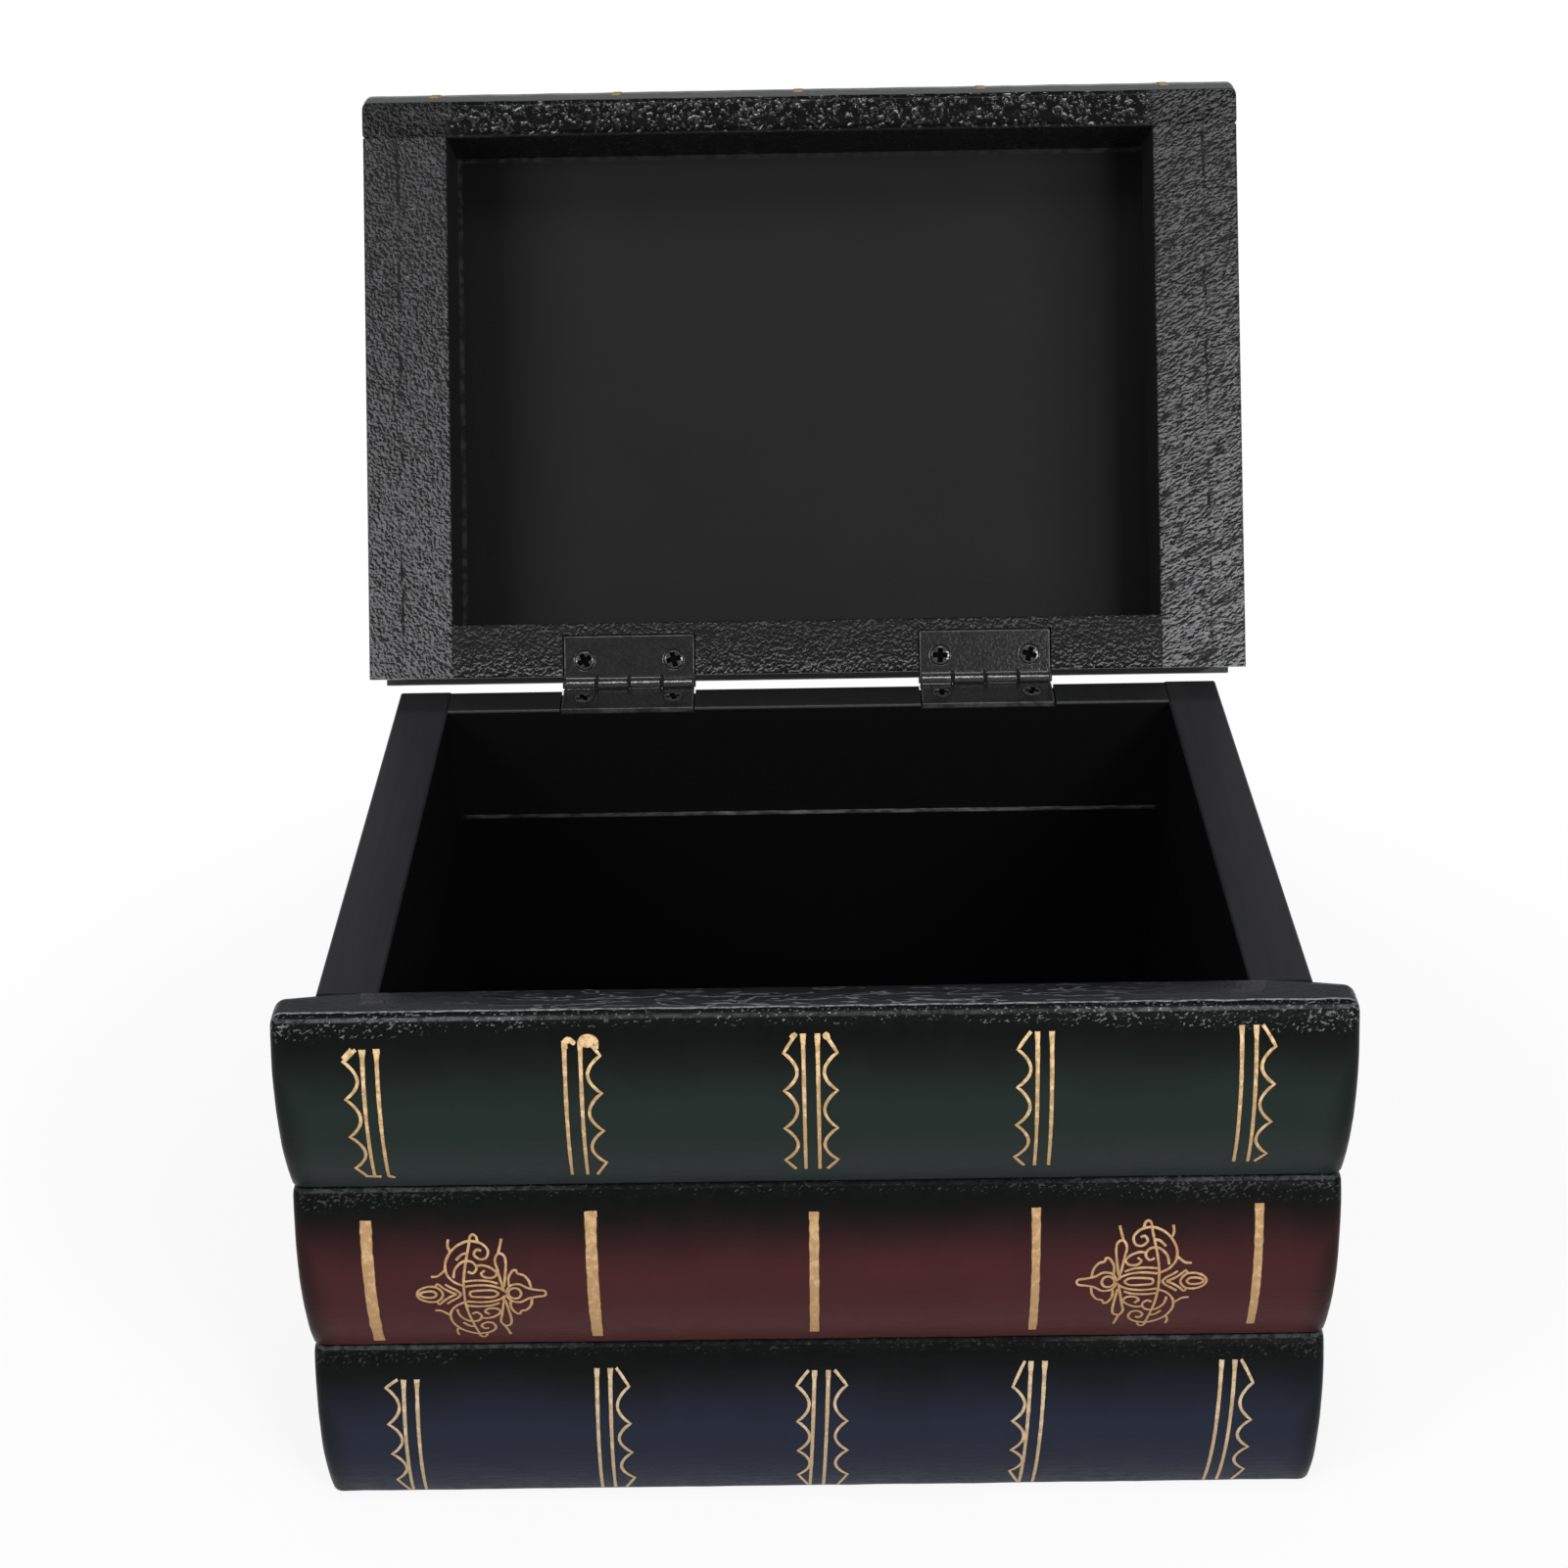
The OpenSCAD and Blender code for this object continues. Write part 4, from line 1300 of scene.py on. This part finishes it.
finish_with(frame["nodes"]["lid_inner_panel"], satin_panel)
finish_with(frame["nodes"]["lid_top_cover"], cover_paint("lid_cover_paint", GREEN, closed_place))
for side, coat in (
    ("left", coarse_coat(*LEFT_COAT, toned=LEFT_HIGHLIGHT_GREYS)),
    ("right", coarse_coat(*RIGHT_COAT, toned=RIGHT_HIGHLIGHT_GREYS, cracks=CRACK_DEPTH)),
):
    strip_paint = coarse_paint(side + "_strip_paint", coat)
    finish_with(frame["nodes"]["lid_lower_cover_" + side], strip_paint)
for book, colour in (("green", GREEN), ("maroon", MAROON), ("navy", NAVY)):
    paint = cover_paint(book + "_cover_paint", colour, object_place)
    for node, piece in frame["nodes"].items():
        if node.startswith(book) and "cover" in node:
            finish_with(piece, paint)
finish_with(frame["nodes"]["base_cover"], paint)
print("covers painted")

# %% [markdown]
# ## The well
# The well is lined with black board and swallows the light. Only the lining's upper edge shows,
# as a thin uneven glint, so its finish is near-black and matt, and painted pale just at that edge on
# the back wall, most in the middle, as a painted glint.

# %% Lining
lining_finish, lining_place = new_finish("lining_finish")
lining_across = lining_place.x
lining_low, lining_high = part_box("lining_back")
# Painted glint: the lining's top edge on the back wall is painted pale, most in the middle.
at_top = fade(lining_place.z, lining_high.z - 0.45 * MM, lining_high.z - 0.1 * MM)
at_back = fade(lining_place.y, lining_low.y - 0.5 * MM, lining_low.y)
in_corner = fade(abs(lining_across), lining_high.x - 1 * MM, lining_high.x - 3 * MM)
glint_breaks = fade(grain(stretched(lining_place, (0.5, 1, 1)), 2.2 * MM, detail=4), 0.35, 0.65, low=0.25)
in_middle = fade(abs(lining_across - 10 * MM), 60 * MM, 25 * MM, low=0.4)
painted_glint = at_top * at_back * in_corner * glint_breaks * in_middle
lining_colour = blend(painted_glint, (0.0012, 0.0012, 0.0012), (0.1, 0.1, 0.1))
lining_nap = grain(lining_place, 0.5 * MM)
lining_rough = fade(lining_nap, 0.3, 0.7, low=0.8, high=0.95)
coat_shader(lining_colour, lining_rough, relief(lining_nap, 0.05 * MM), specular=0.05)
for node, piece in frame["nodes"].items():
    if node.startswith("lining") or node == "floor_board":
        finish_with(piece, lining_finish)
print("well lined")

# %% [markdown]
# ## Hinges and screws
# The hinges were painted over with the lid, in a gloss black that throws a hard line of light on
# every knuckle, so the paint itself is nearly black and its shine does the work. Along the leaves'
# edges it is painted paler as a painted highlight, and where the knuckles meet it is painted black
# as painted shade over a shallow groove. The leaves keep their imported shape but get their edges
# eased, from a copy whose loose triangles are first merged back into whole faces. The screws are
# turned from a cylinder, domed, and cut with a cross.

# %% Hinge paint
HINGE_FROM_MIDDLE, KNUCKLE_LENGTH = 41.5 * MM, 7.6 * MM
EASED_BY = 0.2 * MM
hinge_paint, hinge_place = new_finish("hinge_paint")
from_centre = abs(hinge_place.x) - HINGE_FROM_MIDDLE
from_joint = abs(fraction(from_centre / KNUCKLE_LENGTH + 10.5) - 0.5)
from_axis_y = abs(hinge_place.y - HINGE_AXIS_PLACE.y)
from_axis_z = abs(hinge_place.z - HINGE_AXIS_PLACE.z)
barrel = fade(larger(from_axis_y, from_axis_z), 1.75 * MM, 1.55 * MM)
# Painted shade: a dark band where the knuckles meet, over a shallow groove.
joint_shade = fade(from_joint, 0.07, 0.035) * barrel
hinge_grain = grain(hinge_place, 0.7 * MM, detail=3)
hinge_shade = grain(hinge_place, 4 * MM, detail=3)
hinge_colour = blend(hinge_shade, (0.006, 0.006, 0.0065), (0.014, 0.014, 0.015))
hinge_colour = blend(joint_shade, hinge_colour, SHADE_AND_JOINT_BLACK)
leaf_low, leaf_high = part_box("body_leaf_left")
from_axis = (from_axis_y**2.0 + from_axis_z**2.0) ** 0.5
leaf_reach, leaf_half = HINGE_AXIS_PLACE.y - leaf_low.y, (leaf_high.x - leaf_low.x) / 2
# Painted highlight: the leaves' far edge and ends are painted paler grey.
far_edge = fade(from_axis, leaf_reach - 0.5 * MM, leaf_reach - 0.15 * MM)
edges = larger(far_edge, fade(abs(from_centre), leaf_half - 0.5 * MM, leaf_half - 0.15 * MM))
edges = edges * mottle(hinge_place, 2.5 * MM, 0.25, detail=3, cut=(0.35, 0.6))
hinge_colour = blend(edges, hinge_colour, (0.055, 0.055, 0.057))
hinge_rough = larger(fade(hinge_grain, 0.3, 0.7, low=0.18, high=0.28), joint_shade * 0.9)
hinge_bump = relief(joint_shade, -0.3 * MM, below=relief(hinge_grain, 0.07 * MM))
coat_shader(hinge_colour, hinge_rough, hinge_bump, specular=0.45, lacquer=barrel - joint_shade)
leaf_sizes = [round(size / MM, 2) for size in (leaf_reach, 2 * leaf_half)]
print("a leaf reaches", leaf_sizes[0], "mm from the axis and is", leaf_sizes[1], "mm long")


def eased_copy(node, name, width):
    """A node's shape with its loose triangles made whole and its edges eased."""
    piece = frame["nodes"][node].copy()
    piece.data = frame["nodes"][node].data.copy()
    piece.name = name
    piece.parent = None
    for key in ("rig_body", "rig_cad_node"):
        del piece[key]
    bpy.context.scene.collection.objects.link(piece)
    with editing(piece):
        bpy.ops.mesh.select_all(action="SELECT")
        bpy.ops.mesh.remove_doubles(threshold=0.001 * MM)
        bpy.ops.mesh.dissolve_limited(angle_limit=math.radians(1))
    by_angle = {"limit_method": "ANGLE", "angle_limit": math.radians(40)}
    modify(piece, "BEVEL", width=width, segments=2, use_clamp_overlap=False, **by_angle)
    smooth(piece, SMOOTH_UP_TO)
    modify(piece, "WEIGHTED_NORMAL", keep_sharp=True)
    return piece


for body, leaf in (
    ("box", "body_leaf_left"), ("box", "body_leaf_right"),
    ("lid", "lid_leaf_left"), ("lid", "lid_leaf_right"),
):
    eased = eased_copy(leaf, leaf + "_eased", EASED_BY)
    finish_with(eased, hinge_paint)
    hand_over(eased, leaf, body)
for pin in ("hinge_pin_left", "hinge_pin_right"):
    finish_with(frame["nodes"][pin], hinge_paint)

# %% [markdown]
# One screw is made and copied to its eight places. It stands a hair proud of its leaf, and its
# head is narrower than the countersink, which leaves a dark ring round it, also painted black as
# painted shade. The dome is painted grey, partly as rubbed paint and partly as a painted highlight,
# and the cross is painted black as painted shade.

# %% Screws
HEAD_RADIUS, HEAD_DEPTH, HEAD_PROUD = 2.4 * MM, 1.2 * MM, 0.2 * MM
CROSS_WIDTH, CROSS_LENGTH, CROSS_DEPTH = 1.2 * MM, 3.4 * MM, 0.9 * MM
SCREW_FROM_HINGE, SCREW_FROM_AXIS = 10.4 * MM, 5.8 * MM


def turn_screw(name):
    """A domed screw head with a cross cut in it, its rim at the origin and facing up."""
    bpy.ops.object.select_all(action="DESELECT")
    size = {"radius": HEAD_RADIUS, "depth": HEAD_DEPTH}
    middle = (0, 0, HEAD_PROUD - HEAD_DEPTH / 2)
    bpy.ops.mesh.primitive_cylinder_add(vertices=48, location=middle, **size)
    screw = bpy.context.object
    screw.name = name
    bpy.ops.object.transform_apply(location=True, rotation=True, scale=True)
    with editing(screw):
        pick("FACE", lambda face: face.normal.z > 0.9)
        bpy.ops.mesh.inset(thickness=0.3 * MM)
        bpy.ops.mesh.inset(thickness=0.6 * MM)
        for ring, drop in ((0.1 * MM, 0.5 * MM), (0.5 * MM, 0.14 * MM)):
            outside = HEAD_RADIUS - ring
            pick("VERT", lambda corner: at(corner, 2, HEAD_PROUD) and corner.co.xy.length > outside)
            shift(0, 0, -drop)
        pick("FACE", lambda face: face.normal.z < -0.9)
        bpy.ops.transform.resize(value=(0.6, 0.6, 1))
    half_length, half_width = CROSS_LENGTH / 2, CROSS_WIDTH / 2
    for x, y in ((half_length, half_width), (half_width, half_length)):
        cut_out(screw, (-x, -y, HEAD_PROUD - CROSS_DEPTH), (x, y, HEAD_PROUD + MM))
    return screw


def screw_paint(name, place_of, face_z, up):
    """Black as painted shade in the cross and round the rim, and grey on the dome, partly rubbed
    paint and partly a painted highlight.
    """
    finish, place = new_finish(name, place_of)
    # Painted shade: the cross and the rim, below the dome, are black. The dome is grey, partly
    # rubbed paint and partly a painted highlight.
    dome = fade((place.z - face_z) * up, -0.15 * MM, 0.05 * MM)
    toned = dome * mottle(place, 0.9 * MM, 0.3)
    colour = blend(toned, SHADE_AND_JOINT_BLACK, (0.052, 0.052, 0.053))
    rough = fade(toned, 0.0, 1.0, low=0.6, high=0.24)
    bumps = relief(grain(place, 0.8 * MM), 0.06 * MM)
    coat_shader(colour, rough, bumps, specular=0.02, lacquer=dome)
    return finish


screw_pattern = turn_screw("screw_pattern")
screw_y = HINGE_AXIS_PLACE.y - SCREW_FROM_AXIS
places = [a * HINGE_FROM_MIDDLE + b * SCREW_FROM_HINGE for a in (-1, 1) for b in (-1, 1)]
for group, body, face_z, place_of, up in (
    ("body_screws", "box", RIM_HEIGHT, object_place, 1),
    ("lid_screws", "lid", LID_FOOT, closed_place, -1),
):
    heads = []
    for n, x in enumerate(places):
        head = copy_of(screw_pattern, f"{group}_{n + 1}")
        turn = Matrix.Rotation(0.5 + 1.3 * n, 4, "Z")
        flip = Matrix.Rotation(math.pi, 4, "X") if body == "lid" else Matrix.Identity(4)
        head.data.transform(Matrix.Translation((x, screw_y, face_z)) @ flip @ turn)
        heads.append(head)
    choose(heads[0])
    for head in heads:
        head.select_set(True)
    bpy.ops.object.join()
    screws = bpy.context.object
    screws.name = group + "_domed"
    smooth(screws, SMOOTH_UP_TO)
    finish_with(screws, screw_paint(group + "_paint", place_of, face_z, up))
    if body == "lid":
        open_up(screws)
    hand_over(screws, group, body)
bpy.data.objects.remove(screw_pattern)
